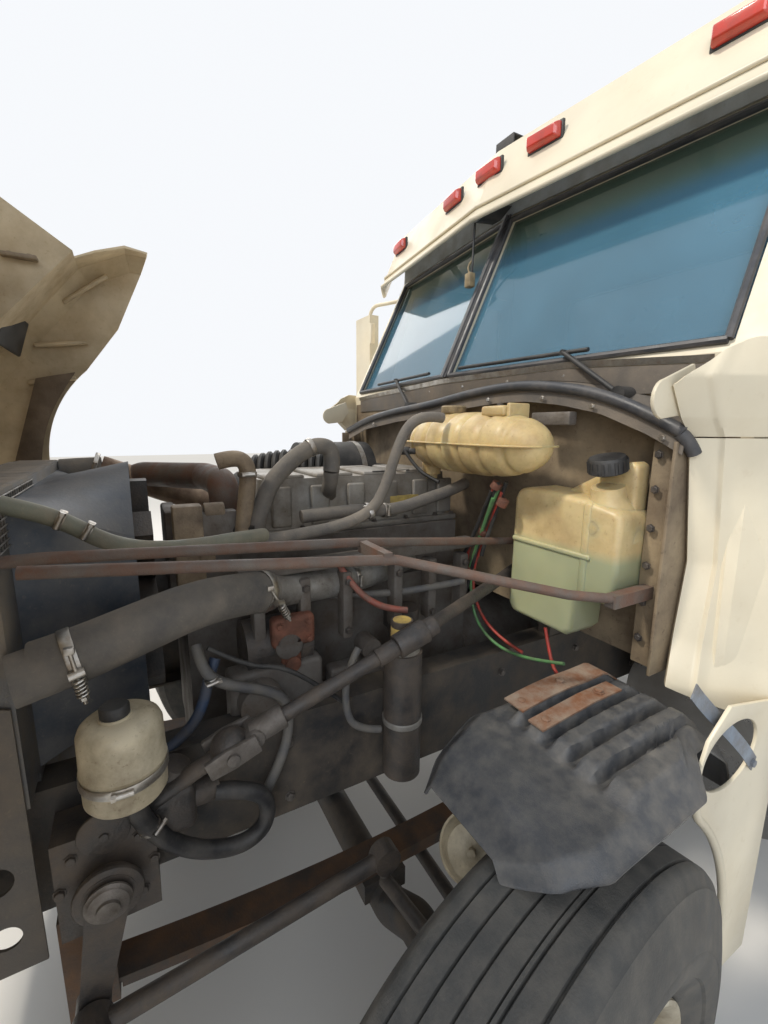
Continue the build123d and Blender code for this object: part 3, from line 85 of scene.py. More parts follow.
def addLights(s):
    sun = bpy.data.lights.new("sun", "SUN")
    sun.energy = s["sun"]["strength"]
    sun.angle = math.radians(s["sun"]["angle"])
    sun.color = s["sun"]["colour"]
    o = bpy.data.objects.new("sun", sun)
    o.rotation_euler = [math.radians(v) for v in s["sun"]["turn"]]
    bpy.context.scene.collection.objects.link(o)
    for key in ("fill", "back"):
        area = bpy.data.lights.new(key, "AREA")
        area.energy = s[key]["watts"]
        area.size = s[key]["size"]
        area.color = s[key]["colour"]
        o = bpy.data.objects.new(key, area)
        o.location = s[key]["place"]
        o.rotation_euler = (Vector(at(0, 1.5, 1.0)) - o.location).to_track_quat("-Z", "Y").to_euler()
        bpy.context.scene.collection.objects.link(o)
    world = bpy.data.worlds.new("sky")
    world.use_nodes = True
    nodes = world.node_tree.nodes
    links = world.node_tree.links
    soft = nodes["Background"]
    soft.inputs[0].default_value = s["world"]["glow"]
    soft.inputs[1].default_value = s["world"]["strength"]
    white = nodes.new("ShaderNodeBackground")
    white.inputs[0].default_value = s["world"]["seen"]
    path = nodes.new("ShaderNodeLightPath")
    seen = path.outputs["Is Camera Ray"]
    for ray in ("Is Glossy Ray", "Is Transmission Ray"):
        either = nodes.new("ShaderNodeMath")
        either.operation = "MAXIMUM"
        links.new(seen, either.inputs[0])
        links.new(path.outputs[ray], either.inputs[1])
        seen = either.outputs[0]
    mix = nodes.new("ShaderNodeMixShader")
    links.new(seen, mix.inputs[0])
    links.new(soft.outputs[0], mix.inputs[1])
    links.new(white.outputs[0], mix.inputs[2])
    links.new(mix.outputs[0], nodes["World Output"].inputs[0])
    bpy.context.scene.world = world


addLights(lightSet)
bpy.context.scene.view_settings.view_transform = "Standard"
print("camera and lights ready")

# Finishes, one row each: base and dirt colours, dirt's cover and scale, roughness range, bump, grain, extras
finishKeys = ("base", "dirt", "cover", "scale", "rough", "bump", "grain")
finishes = {
    "agedCabPaint": ((0.75, 0.68, 0.53), (0.68, 0.6, 0.45), 0.34, 3.5, (0.34, 0.62), 0.05, 90),
    "hoodMoulding": ((0.66, 0.54, 0.36), (0.45, 0.34, 0.2), 0.46, 6, (0.42, 0.75), 0.12, 60,
                     {"outside": (0.76, 0.69, 0.54)}),
    "hoodInside": ((0.66, 0.54, 0.36), (0.47, 0.36, 0.22), 0.42, 9, (0.45, 0.8), 0.12, 60),
    "flapRubber": ((0.2, 0.145, 0.095), (0.11, 0.08, 0.055), 0.5, 9, (0.6, 0.9), 0.3, 160),
    "chassisBlack": ((0.035, 0.035, 0.037), (0.15, 0.12, 0.09), 0.42, 7, (0.5, 0.85), 0.25, 120),
    "engineGrey": ((0.17, 0.16, 0.15), (0.09, 0.07, 0.055), 0.5, 9, (0.45, 0.85), 0.35, 90),
    "coverAlloy": ((0.3, 0.29, 0.27), (0.16, 0.13, 0.1), 0.42, 10, (0.42, 0.75), 0.25, 160, {"metal": 0.35}),
    "greasyCast": ((0.045, 0.042, 0.042), (0.14, 0.11, 0.085), 0.4, 12, (0.38, 0.8), 0.4, 140),
    "rustySpring": ((0.075, 0.06, 0.05), (0.2, 0.11, 0.06), 0.45, 14, (0.6, 0.9), 0.4, 150),
    "rustyCopperPipe": ((0.42, 0.3, 0.2), (0.16, 0.1, 0.07), 0.5, 14, (0.5, 0.85), 0.3, 160, {"metal": 0.2}),
    "dustyHose": ((0.115, 0.11, 0.105), (0.25, 0.22, 0.185), 0.5, 11, (0.65, 0.9), 0.3, 220),
    "blackHose": ((0.03, 0.03, 0.032), (0.12, 0.11, 0.1), 0.36, 16, (0.45, 0.75), 0.2, 200),
    "blueHose": ((0.05, 0.08, 0.15), (0.12, 0.11, 0.1), 0.38, 18, (0.5, 0.8), 0.2, 260),
    "coolerFins": ((0.15, 0.15, 0.155), (0.26, 0.22, 0.17), 0.4, 9, (0.5, 0.8), 0.3, 260, {"metal": 0.4}),
    "shroudPlastic": ((0.055, 0.07, 0.095), (0.2, 0.19, 0.18), 0.34, 7, (0.4, 0.7), 0.15, 120),
    "linerPlastic": ((0.06, 0.063, 0.07), (0.145, 0.138, 0.128), 0.38, 30, (0.4, 0.75), 0.3, 420),
    "agedTank": ((0.7, 0.55, 0.28), (0.36, 0.24, 0.11), 0.4, 9, (0.35, 0.6), 0.12, 70, {"glow": 0.35}),
    "creamReservoir": ((0.66, 0.58, 0.42), (0.24, 0.19, 0.12), 0.38, 13, (0.4, 0.65), 0.12, 120),
    "tankAlloy": ((0.58, 0.58, 0.58), (0.44, 0.42, 0.39), 0.36, 6, (0.25, 0.5), 0.08, 240, {"metal": 0.9}),
    "dullChrome": ((0.6, 0.6, 0.6), (0.3, 0.26, 0.22), 0.34, 8, (0.16, 0.4), 0.05, 200, {"metal": 1.0}),
    "bandSteel": ((0.52, 0.51, 0.49), (0.24, 0.19, 0.14), 0.4, 26, (0.3, 0.55), 0.12, 300, {"metal": 0.9}),
    "greasedSteel": ((0.07, 0.065, 0.06), (0.02, 0.018, 0.016), 0.5, 8, (0.2, 0.6), 0.35, 120,
                     {"metal": 0.5}),
    "dashPlastic": ((0.05, 0.05, 0.055), (0.12, 0.11, 0.1), 0.3, 8, (0.5, 0.75), 0.25, 420),
    "roughBrown": ((0.33, 0.26, 0.17), (0.13, 0.095, 0.065), 0.5, 6, (0.55, 0.85), 0.25, 110),
    "softBlack": ((0.02, 0.02, 0.021), (0.09, 0.085, 0.08), 0.35, 12, (0.5, 0.75), 0.2, 260),
    "redLens": ((0.62, 0.05, 0.03), (0.35, 0.06, 0.04), 0.3, 20, (0.15, 0.3), 0.05, 120, {"coat": 0.6}),
    "amberLens": ((0.72, 0.16, 0.05), (0.42, 0.1, 0.04), 0.3, 20, (0.15, 0.3), 0.05, 120, {"coat": 0.6}),
    "rustRed": ((0.24, 0.09, 0.055), (0.1, 0.05, 0.035), 0.5, 22, (0.6, 0.9), 0.5, 180),
    "redWire": ((0.45, 0.04, 0.03), (0.16, 0.07, 0.05), 0.4, 40, (0.4, 0.6), 0.1, 200),
    "greenWire": ((0.1, 0.28, 0.1), (0.1, 0.11, 0.07), 0.4, 40, (0.4, 0.6), 0.1, 200),
    "rustyLine": ((0.135, 0.115, 0.1), (0.17, 0.085, 0.055), 0.45, 18, (0.5, 0.8), 0.35, 220),
    "rimCream": ((0.62, 0.56, 0.42), (0.22, 0.17, 0.11), 0.5, 9, (0.4, 0.7), 0.12, 120),
    "bottlePlastic": ((0.72, 0.57, 0.3), (0.42, 0.28, 0.13), 0.3, 7, (0.35, 0.6), 0.08, 70,
                      {"glow": 0.35, "level": (1.4, 1.43)}),
    "agedCap": ((0.4, 0.31, 0.17), (0.12, 0.09, 0.06), 0.5, 26, (0.5, 0.8), 0.2, 200),
    "rustyStrap": ((0.3, 0.25, 0.2), (0.2, 0.085, 0.04), 0.55, 22, (0.6, 0.9), 0.45, 200),
    "cowlGrey": ((0.105, 0.095, 0.085), (0.22, 0.18, 0.14), 0.45, 8, (0.5, 0.8), 0.2, 200),
    "sealRubber": ((0.045, 0.048, 0.056), (0.13, 0.12, 0.115), 0.32, 14, (0.4, 0.7), 0.12, 220),
    # the fluted strip's base is lighter and bluer than its own grey: a painted sky reflection
    "flutedGrey": ((0.46, 0.5, 0.55), (0.3, 0.29, 0.28), 0.35, 10, (0.4, 0.65), 0.1, 160),
    "blueGreyPaint": ((0.22, 0.27, 0.34), (0.16, 0.14, 0.12), 0.36, 16, (0.35, 0.6), 0.15, 180),
    "greyPipe": ((0.34, 0.335, 0.32), (0.14, 0.12, 0.1), 0.48, 12, (0.42, 0.75), 0.25, 200, {"metal": 0.3}),
    "tanMetal": ((0.36, 0.28, 0.19), (0.15, 0.11, 0.08), 0.45, 14, (0.5, 0.8), 0.3, 200),
    "greenGreyHose": ((0.17, 0.18, 0.14), (0.28, 0.25, 0.19), 0.45, 16, (0.5, 0.8), 0.2, 220),
    "greyFitted": ((0.12, 0.12, 0.125), (0.22, 0.2, 0.17), 0.45, 18, (0.5, 0.8), 0.2, 240),
    "redHose": ((0.3, 0.07, 0.05), (0.16, 0.1, 0.08), 0.5, 26, (0.5, 0.75), 0.15, 220),
    "wornCast": ((0.21, 0.19, 0.175), (0.09, 0.075, 0.06), 0.45, 20, (0.4, 0.75), 0.35, 200, {"metal": 0.3}),
    "yellowBand": ((0.6, 0.45, 0.12), (0.28, 0.2, 0.1), 0.45, 30, (0.5, 0.7), 0.1, 200),
    "tyreRubber": ((0.06, 0.06, 0.058), (0.135, 0.125, 0.11), 0.42, 22, (0.65, 0.9), 0.3, 240),
}
glassSet = {
    "tintedGlass": {"colour": (0.10, 0.25, 0.36), "top": (0.13, 0.22, 0.19), "alpha": 0.62, "rough": 0.04},
    "lampGlass": {"colour": (0.70, 0.74, 0.76), "top": (0.70, 0.74, 0.76), "alpha": 0.55, "rough": 0.08},
}
glassBandZ = (2.33, 2.39)
wetColour = (0.42, 0.44, 0.27, 1)
hoodMiddle = at(0, -1.15, 1.45)
outerDirt = 0.92  # how bright the dirt on the hood's outer paint is beside the paint
weaveScale = 240


def newFinish(name):
    m = bpy.data.materials.new(name)
    m.use_nodes = True
    nodes, links = m.node_tree.nodes, m.node_tree.links
    return m, nodes, links, nodes["Principled BSDF"], nodes.new("ShaderNodeTexCoord")


def newNode(nodes, kind, **settings):
    n = nodes.new("ShaderNode" + kind)
    for key, value in settings.items():
        setattr(n, key, value)
    return n


def feed(links, socket, value):  # from another node's output, or a constant
    if isinstance(value, bpy.types.NodeSocket):
        links.new(value, socket)
    else:
        socket.default_value = value


def noiseNode(nodes, links, coords, scale, detail=6, rough=0.62):
    n = newNode(nodes, "TexNoise")
    for key, value in (("Scale", scale), ("Detail", detail), ("Roughness", rough)):
        n.inputs[key].default_value = value
    links.new(coords.outputs["Object"], n.inputs["Vector"])
    return n.outputs["Fac"]


def ramp(nodes, links, value, low, high, a=(0, 0, 0, 1), b=(1, 1, 1, 1)):
    n = newNode(nodes, "ValToRGB")
    first, last = n.color_ramp.elements
    first.position, last.position = low, high
    first.color, last.color = a, b
    links.new(value, n.inputs["Fac"])
    return n.outputs["Color"]


def mixed(nodes, links, share, a, b, blend="MIX"):
    n = newNode(nodes, "Mix", data_type="RGBA", blend_type=blend)
    for key, value in (("Factor", share), ("A", a), ("B", b)):
        feed(links, n.inputs[key], value)
    return n.outputs["Result"]


def worked(nodes, links, kind, operation, values):  # a math or vector math node
    n = newNode(nodes, kind, operation=operation)
    for socket, value in zip(n.inputs, values):
        feed(links, socket, value)
    return n


def ranged(nodes, links, value, ends, side):  # side is From or To
    n = newNode(nodes, "MapRange")
    n.inputs[side + " Min"].default_value, n.inputs[side + " Max"].default_value = ends
    links.new(value, n.inputs["Value"])
    return n.outputs["Result"]


def heightOf(nodes, links, coords):
    n = newNode(nodes, "SeparateXYZ")
    links.new(coords.outputs["Object"], n.inputs["Vector"])
    return n.outputs["Z"]


def addBump(nodes, links, shader, height, strength, distance):
    n = newNode(nodes, "Bump")
    for key, value in (("Strength", strength), ("Distance", distance), ("Height", height)):
        feed(links, n.inputs[key], value)
    links.new(n.outputs["Normal"], shader.inputs["Normal"])


def weatheredFinish(name, s):
    m, nodes, links, shader, coords = newFinish(name)
    shader.inputs["Metallic"].default_value = s.get("metal", 0.0)
    shader.inputs["Coat Weight"].default_value = s.get("coat", 0.0)
    if "glow" in s:
        shader.inputs["Subsurface Weight"].default_value = s["glow"]
        shader.inputs["Subsurface Radius"].default_value = (0.03, 0.018, 0.008)
        shader.inputs["Subsurface Scale"].default_value = 0.4
    low = 0.62 - s["cover"] * 0.6
    spread = ramp(nodes, links, noiseNode(nodes, links, coords, s["scale"], 8), max(0.0, low),
                  min(1.0, low + 0.36))
    speck = ramp(nodes, links, noiseNode(nodes, links, coords, s["scale"] * 9, 3, 0.8), 0.60, 0.70)
    dirt = worked(nodes, links, "Math", "MULTIPLY_ADD", (speck, 0.35, spread))
    dirt.use_clamp = True
    dirt = dirt.outputs[0]
    tint = ramp(nodes, links, noiseNode(nodes, links, coords, s["scale"] * 0.45, 3), 0.35, 0.7,
                (0.82, 0.82, 0.82, 1), (1.12, 1.10, 1.06, 1))
    baseTone, dirtTone = (*s["base"], 1), (*s["dirt"], 1)
    if "outside" in s:  # painted outer skin, bare moulding inside, told apart by which way a face looks
        fromMiddle = (coords.outputs["Object"], hoodMiddle)
        outward = worked(nodes, links, "VectorMath", "SUBTRACT", fromMiddle).outputs["Vector"]
        bothWays = (outward, coords.outputs["Normal"])
        facing = worked(nodes, links, "VectorMath", "DOT_PRODUCT", bothWays).outputs["Value"]
        isOut = worked(nodes, links, "Math", "GREATER_THAN", (facing, 0.0)).outputs[0]
        baseTone = mixed(nodes, links, isOut, baseTone, (*s["outside"], 1))
        dirtTone = mixed(nodes, links, isOut, dirtTone, (*[c * outerDirt for c in s["outside"]], 1))
    tone = mixed(nodes, links, dirt, baseTone, dirtTone)
    if "level" in s:  # fluid shows through the wall below its level
        dry = ranged(nodes, links, heightOf(nodes, links, coords), s["level"], "From")
        tone = mixed(nodes, links, dry, wetColour, tone)
    links.new(mixed(nodes, links, 1.0, tone, tint, "MULTIPLY"), shader.inputs["Base Color"])
    links.new(ranged(nodes, links, dirt, s["rough"], "To"), shader.inputs["Roughness"])
    addBump(nodes, links, shader, noiseNode(nodes, links, coords, s["grain"], 4), s["bump"], 0.004)
    return m


def glassFinish(name, s):
    m, nodes, links, shader, coords = newFinish(name)
    shader.inputs["Roughness"].default_value = s["rough"]
    shader.inputs["IOR"].default_value = 1.45
    shader.inputs["Coat Weight"].default_value = 0.8
    smear = noiseNode(nodes, links, coords, 2.2, 6)
    shade = ramp(nodes, links, smear, 0.35, 0.75, (*[c * 0.75 for c in s["colour"]], 1), (*s["colour"], 1))
    band = ranged(nodes, links, heightOf(nodes, links, coords), glassBandZ, "From")
    links.new(mixed(nodes, links, band, shade, (*s["top"], 1)), shader.inputs["Base Color"])
    links.new(ranged(nodes, links, smear, (s["alpha"] - 0.06, s["alpha"] + 0.10), "To"),
              shader.inputs["Alpha"])
    return m


def clothFinish(name):
    m, nodes, links, shader, coords = newFinish(name)
    shader.inputs["Roughness"].default_value = 0.9
    shader.inputs["Sheen Weight"].default_value = 0.4
    threads = []
    for direction in ("X", "Z"):
        n = newNode(nodes, "TexWave", bands_direction=direction)
        n.inputs["Scale"].default_value = weaveScale
        links.new(coords.outputs["Object"], n.inputs["Vector"])
        threads.append(n.outputs["Fac"])
    weave = worked(nodes, links, "Math", "MULTIPLY", threads).outputs[0]
    tone = ramp(nodes, links, noiseNode(nodes, links, coords, 5, 5), 0.3, 0.75,
                (0.055, 0.055, 0.065, 1), (0.13, 0.125, 0.13, 1))
    links.new(tone, shader.inputs["Base Color"])
    addBump(nodes, links, shader, weave, 0.4, 0.001)
    return m


paints = {}
for name, row in finishes.items():
    extras = row[len(finishKeys)] if len(row) > len(finishKeys) else {}
    paints[name] = weatheredFinish(name, {**dict(zip(finishKeys, row)), **extras})
for name, s in glassSet.items():
    paints[name] = glassFinish(name, s)
paints["seatCloth"] = clothFinish("seatCloth")
print("finishes ready")

# Finish of every carried-over CAD node
nodePaints = {
    "chassisBlack": "frame_rails front_axle rear_suspension rear_axles cab_floor",
    "dullChrome": "front_bumper exhaust_stack",
    "rustySpring": "leaf_springs",
    "tankAlloy": "fuel_tanks tank_steps battery_box",
    "greasedSteel": "fifth_wheel_base fifth_wheel_plate",
    "softBlack": "mud_flaps air_cleaner wipers",
    "linerPlastic": "fender_liners",
    "coolerFins": "cooling_pack",
    "shroudPlastic": "fan_shroud",
    "engineGrey": "engine_block",
    "coverAlloy": "valve_cover",
    "greasyCast": "engine_accessories steering_gear pitman_arm drag_link tie_rod knuckle_left knuckle_right",
    "rustyLine": "engine_pipes",
    "dustyHose": "engine_hoses",
    "agedTank": "surge_tank washer_bottle",
    "creamReservoir": "fluid_reservoir",
    "roughBrown": "cab_firewall",
    "agedCabPaint": "cab_shell cab_roof sun_visor door_left door_right cowl_panels",
    "tintedGlass": "cab_glass door_glass_left door_glass_right",
    "dashPlastic": "dashboard hood_grille",
    "seatCloth": "seats",
    "redLens": "lamps",
    "hoodMoulding": "hood_shell",
    "lampGlass": "headlamps",
}
paintOf = {node: paint for paint, names in nodePaints.items() for node in names.split()}
for name, obj in frame["nodes"].items():
    obj.data.materials.clear()
    obj.data.materials.append(paints[paintOf.get(name, "tyreRubber")])
print("CAD nodes painted")


# Workshop helpers
def clearPick():
    bpy.ops.object.select_all(action="DESELECT")


def hold(obj):
    clearPick()
    obj.select_set(True)
    bpy.context.view_layer.objects.active = obj


def openEdit(obj, kind="FACE"):
    hold(obj)
    bpy.ops.object.mode_set(mode="EDIT")
    bpy.ops.mesh.select_mode(type=kind)


def closeEdit():
    bpy.ops.object.mode_set(mode="OBJECT")


def pickFaces(obj, test):  # by middle and normal, leaves the piece in edit mode
    openEdit(obj)
    bpy.ops.mesh.select_all(action="DESELECT")
    closeEdit()
    for face in obj.data.polygons:
        face.select = test(face.center, face.normal)
    bpy.ops.object.mode_set(mode="EDIT")


def settle(obj):
    hold(obj)
    bpy.ops.object.transform_apply(location=True, rotation=True, scale=True)


def bake(obj):
    hold(obj)
    for m in list(obj.modifiers):
        bpy.ops.object.modifier_apply(modifier=m.name)


def soften(obj, width, rows=2, angle=40):
    m = obj.modifiers.new("edge", "BEVEL")
    m.width = width
    m.segments = rows
    m.limit_method = "ANGLE"
    m.angle_limit = math.radians(angle)
    bake(obj)
    return obj


def dressed(obj, name, paint, body="chassis", angle=38):
    obj.name = name
    obj.data.name = name
    obj.data.materials.clear()
    obj.data.materials.append(paints[paint])
    settle(obj)
    bpy.ops.object.shade_smooth_by_angle(angle=math.radians(angle))
    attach(obj, body)
    return obj


def joined(pieces):
    clearPick()
    for piece in pieces:
        piece.select_set(True)
    bpy.context.view_layer.objects.active = pieces[0]
    if len(pieces) > 1:
        bpy.ops.object.join()
    return pieces[0]


def block(low, high, edge=0.004, rows=2):
    low, high = Vector(low), Vector(high)
    clearPick()
    bpy.ops.mesh.primitive_cube_add(size=1, location=(low + high) / 2, scale=high - low)
    obj = bpy.context.object
    settle(obj)
    if edge:
        soften(obj, edge, rows)
    return obj


def rod(start, end, radius, sides=20, edge=0.0):
    start, end = Vector(start), Vector(end)
    along = end - start
    clearPick()
    bpy.ops.mesh.primitive_cylinder_add(vertices=sides, radius=radius, depth=along.length,
                                        location=(start + end) / 2,
                                        rotation=along.to_track_quat("Z", "Y").to_euler())
    obj = bpy.context.object
    settle(obj)
    if edge:
        soften(obj, edge, 2)
    return obj


def turned(place, axis, steps, sides=40, ring=False):  # steps are distance along the axis and radius
    axis, place = Vector(axis).normalized(), Vector(place)
    clearPick()
    bpy.ops.mesh.primitive_circle_add(vertices=sides, radius=steps[0][1], location=place + axis * steps[0][0],
                                      rotation=axis.to_track_quat("Z", "Y").to_euler(),
                                      fill_type="NOTHING" if ring else "NGON")
    obj = bpy.context.object
    settle(obj)
    openEdit(obj, "EDGE" if ring else "FACE")
    bpy.ops.mesh.select_all(action="SELECT")
    for (before, r0), (after, r1) in zip(steps, steps[1:]):
        bpy.ops.mesh.extrude_region_move(TRANSFORM_OT_translate={"value": axis * (after - before)})
        if abs(r1 - r0) > 1e-6:
            bpy.ops.transform.resize(value=(r1 / r0,) * 3, center_override=place + axis * after)
    bpy.ops.mesh.select_all(action="SELECT")
    if ring:
        bpy.ops.mesh.remove_doubles(threshold=0.00005)
    bpy.ops.mesh.normals_make_consistent(inside=False)
    closeEdit()
    return obj


def plate(corners, push, edge=0.002):
    clearPick()
    bpy.ops.mesh.primitive_circle_add(vertices=len(corners), radius=1, fill_type="NGON")
    obj = bpy.context.object
    for v, c in zip(obj.data.vertices, corners):
        v.co = c
    openEdit(obj)
    bpy.ops.mesh.select_all(action="SELECT")
    bpy.ops.mesh.extrude_region_move(TRANSFORM_OT_translate={"value": Vector(push)})
    bpy.ops.mesh.select_all(action="SELECT")
    bpy.ops.mesh.normals_make_consistent(inside=False)
    closeEdit()
    if edge:
        soften(obj, edge, 2)
    return obj


def skin(across, along, placeAt, wall):  # a grid laid out by a rule of two shares, then given a wall
    clearPick()
    bpy.ops.mesh.primitive_grid_add(x_subdivisions=across, y_subdivisions=along, size=2)
    obj = bpy.context.object
    for v in obj.data.vertices:
        v.co = placeAt((v.co.x + 1) / 2, (v.co.y + 1) / 2)
    m = obj.modifiers.new("wall", "SOLIDIFY")
    m.thickness = wall
    m.offset = 0
    bake(obj)
    openEdit(obj)
    bpy.ops.mesh.select_all(action="SELECT")
    bpy.ops.mesh.normals_make_consistent(inside=False)
    closeEdit()
    return obj


def runCurve(name, points, radius, around, resolution):  # a smooth round line, still a curve
    curve = bpy.data.curves.new(name, "CURVE")
    curve.dimensions = "3D"
    spline = curve.splines.new("NURBS")
    spline.points.add(len(points) - 1)
    for p, place in zip(spline.points, points):
        p.co = (*place, 1)
    spline.order_u = 3
    spline.use_endpoint_u = True
    curve.resolution_u = resolution
    spline.resolution_u = resolution
    curve.bevel_depth = radius
    curve.bevel_resolution = around
    curve.use_fill_caps = True
    obj = bpy.data.objects.new(name, curve)
    bpy.context.scene.collection.objects.link(obj)
    return obj


def tube(points, radius, around=3, resolution=8):
    hold(runCurve("tube", points, radius, around, resolution))
    bpy.ops.object.convert(target="MESH")
    return bpy.context.object


def places(points):
    return [at(*p) for p in points]


def hoseBand(place, axis, radius, width=0.013, lug=True):  # worm drive hose clamp with its screw housing
    axis = Vector(axis).normalized()
    place = Vector(place)
    half = width / 2
    steps = [(-half, radius), (-half, radius + 0.0016), (-half + 0.002, radius + 0.0024),
             (half - 0.002, radius + 0.0024), (half, radius + 0.0016), (half, radius), (-half, radius)]
    band = turned(place, axis, steps, 36, ring=True)
    if not lug:
        return band
    side = axis.cross(Vector((0, 0, 1)))
    side = side.normalized() if side.length > 0.2 else Vector((1, 0, 0))
    along = side.cross(axis).normalized()
    middle = place + side * (radius + 0.005)
    screw = rod(middle - along * 0.013, middle + along * 0.012, 0.0048, 12)
    head = rod(middle + along * 0.012, middle + along * 0.019, 0.006, 6)
    return joined([band, screw, head])


def coilSpring(start, end, coilRadius, wire, turns):
    start, end = Vector(start), Vector(end)
    along = end - start
    clearPick()
    bpy.ops.mesh.primitive_circle_add(vertices=8, radius=wire, location=(coilRadius, 0, 0),
                                      rotation=(math.pi / 2, 0, 0))
    obj = bpy.context.object
    settle(obj)
    m = obj.modifiers.new("coil", "SCREW")
    m.screw_offset = along.length / turns
    m.iterations = turns
    m.steps = 16
    m.render_steps = 16
    bake(obj)
    openEdit(obj, "EDGE")
    bpy.ops.mesh.select_all(action="SELECT")
    bpy.ops.mesh.normals_make_consistent(inside=False)
    closeEdit()
    obj.rotation_euler = along.to_track_quat("Z", "Y").to_euler()
    obj.location = start
    settle(obj)
    return obj


def boltHeads(spots, axis, size=0.009, tall=0.006, sides=6):  # one head, then a copy at each spot
    axis = Vector(axis).normalized()
    steps = [(0, size * 1.35), (0.0015, size * 1.35), (0.0016, size), (tall, size),
             (tall + 0.001, size * 0.84)]
    first = turned(spots[0], axis, steps, sides)
    made = [first]
    for spot in spots[1:]:
        hold(first)
        bpy.ops.object.duplicate_move(TRANSFORM_OT_translate={"value": Vector(spot) - Vector(spots[0])})
        made.append(bpy.context.object)
    return joined(made)


print("helpers ready")

# Wheels: worn rib tyres, disc wheels with hand holes, hubs and drums
wheelSet = {
    "tyre": 0.507, "bead": 0.290, "half": 0.140, "offset": 0.1715, "dual": 0.343,
    "frontGrooves": ((-0.074, 0.0055), (-0.040, 0.0055), (-0.004, 0.0055), (0.030, 0.0035), (0.040, 0.0055),
                     (0.080, 0.0075)),
    "driveGrooves": ((-0.062, 0.009), (-0.021, 0.009), (0.021, 0.009), (0.062, 0.009)),
    "grooveDeep": 0.010,
    "barrelOuter": ((0.030, 0.240), (0.045, 0.252), (0.085, 0.255), (0.104, 0.268), (0.113, 0.281),
                    (0.112, 0.2885), (0.105, 0.2895)),
    "barrelInner": ((0.025, 0.247), (0.040, 0.260), (0.085, 0.263), (0.099, 0.274)),
    "disc": ((0.128, 0.2405), (0.120, 0.236), (0.086, 0.222), (0.050, 0.206), (0.018, 0.186), (0.006, 0.176),
             (0.002, 0.160), (0.002, 0.112), (0.012, 0.112), (0.012, 0.156), (0.016, 0.168), (0.028, 0.178),
             (0.060, 0.197), (0.094, 0.212), (0.126, 0.226), (0.128, 0.2405)),
    "frontHub": ((-0.075, 0.104), (0.004, 0.104), (0.010, 0.098), (0.014, 0.078), (0.060, 0.072),
                 (0.064, 0.066), (0.064, 0.052), (0.074, 0.050), (0.0745, 0.030)),
    "driveHub": ((-0.060, 0.104), (0.006, 0.104), (0.012, 0.096), (0.016, 0.086), (0.110, 0.080),
                 (0.120, 0.078), (0.122, 0.100), (0.132, 0.100), (0.136, 0.088), (0.138, 0.040)),
    "nuts": {"count": 10, "circle": 0.1428, "size": 0.0165, "tall": 0.026, "stud": 0.0105, "studLong": 0.040},
    "frontCap": {"count": 6, "circle": 0.060, "push": 0.064},
    "driveCap": {"count": 8, "circle": 0.090, "push": 0.132},
}


def mirrored(steps):  # the same steps on the other side of the middle, then these
    return [(-d, r) for d, r in reversed(steps)] + list(steps)


def tyreSteps(s, grooves):
    r, h = s["tyre"], s["half"]
    tread = []
    for middle, width in grooves:
        tread += [(middle - width / 2, r), (middle - width * 0.3, r - s["grooveDeep"]),
                  (middle + width * 0.3, r - s["grooveDeep"]), (middle + width / 2, r)]
    outer = [(0.092, r - 0.0005), (0.102, r - 0.006), (0.112, r - 0.022), (0.116, r - 0.024),
             (0.120, r - 0.036), (0.128, r - 0.060), (0.136, r - 0.088), (h, r - 0.110),
             (h - 0.0015, r - 0.114), (h, r - 0.119), (0.139, r - 0.140), (0.134, 0.345), (0.129, 0.341),
             (0.128, 0.332), (0.117, 0.312), (0.1115, 0.298), (0.104, s["bead"])]
    inner = [(-0.104, s["bead"])] + [(-d, q) for d, q in reversed(outer[:-1])]
    inside = [(0.098, s["bead"] + 0.004), (0.105, 0.330), (0.122, 0.390), (0.106, r - 0.030),
              (-0.106, r - 0.030), (-0.122, 0.390), (-0.105, 0.330), (-0.098, s["bead"] + 0.004)]
    return inner + tread + outer + inside + [inner[0]]


def cellRule(centre, outward, sides):  # which of the equal sectors a place is in, how far out and how high
    level = outward.orthogonal().normalized()
    other = outward.cross(level)

    def cell(c):
        d = c - centre
        k = int((math.atan2(d.dot(other), d.dot(level)) / math.tau + 1.0) * sides + 0.0001) % sides
        return k, d.dot(outward), (d - outward * d.dot(outward)).length

    return cell


def ringSpots(centre, outward, push, radius, count, start=0.0):  # evenly round the axle
    level = outward.orthogonal().normalized()
    other = outward.cross(level)
    turns = [math.tau * (i + start) / count for i in range(count)]
    return [centre + outward * push + (level * math.cos(a) + other * math.sin(a)) * radius for a in turns]


def makeTyre(centre, outward, grooves, sides, lugs):
    obj = turned(centre, outward, tyreSteps(wheelSet, grooves), sides, ring=True)
    centre, outward = Vector(centre), Vector(outward).normalized()
    cell = cellRule(centre, outward, sides)

    def isCut(c, n):  # every fourth shoulder block, staggered between the two shoulders
        k, across, high = cell(c)
        return k % 4 == (0 if across > 0 else 2) and abs(across) > 0.064 and high > wheelSet["tyre"] - 0.03

    if lugs:
        pickFaces(obj, isCut)
        bpy.ops.mesh.extrude_region_shrink_fatten(TRANSFORM_OT_shrink_fatten={"value": -0.009})
        closeEdit()
    return obj


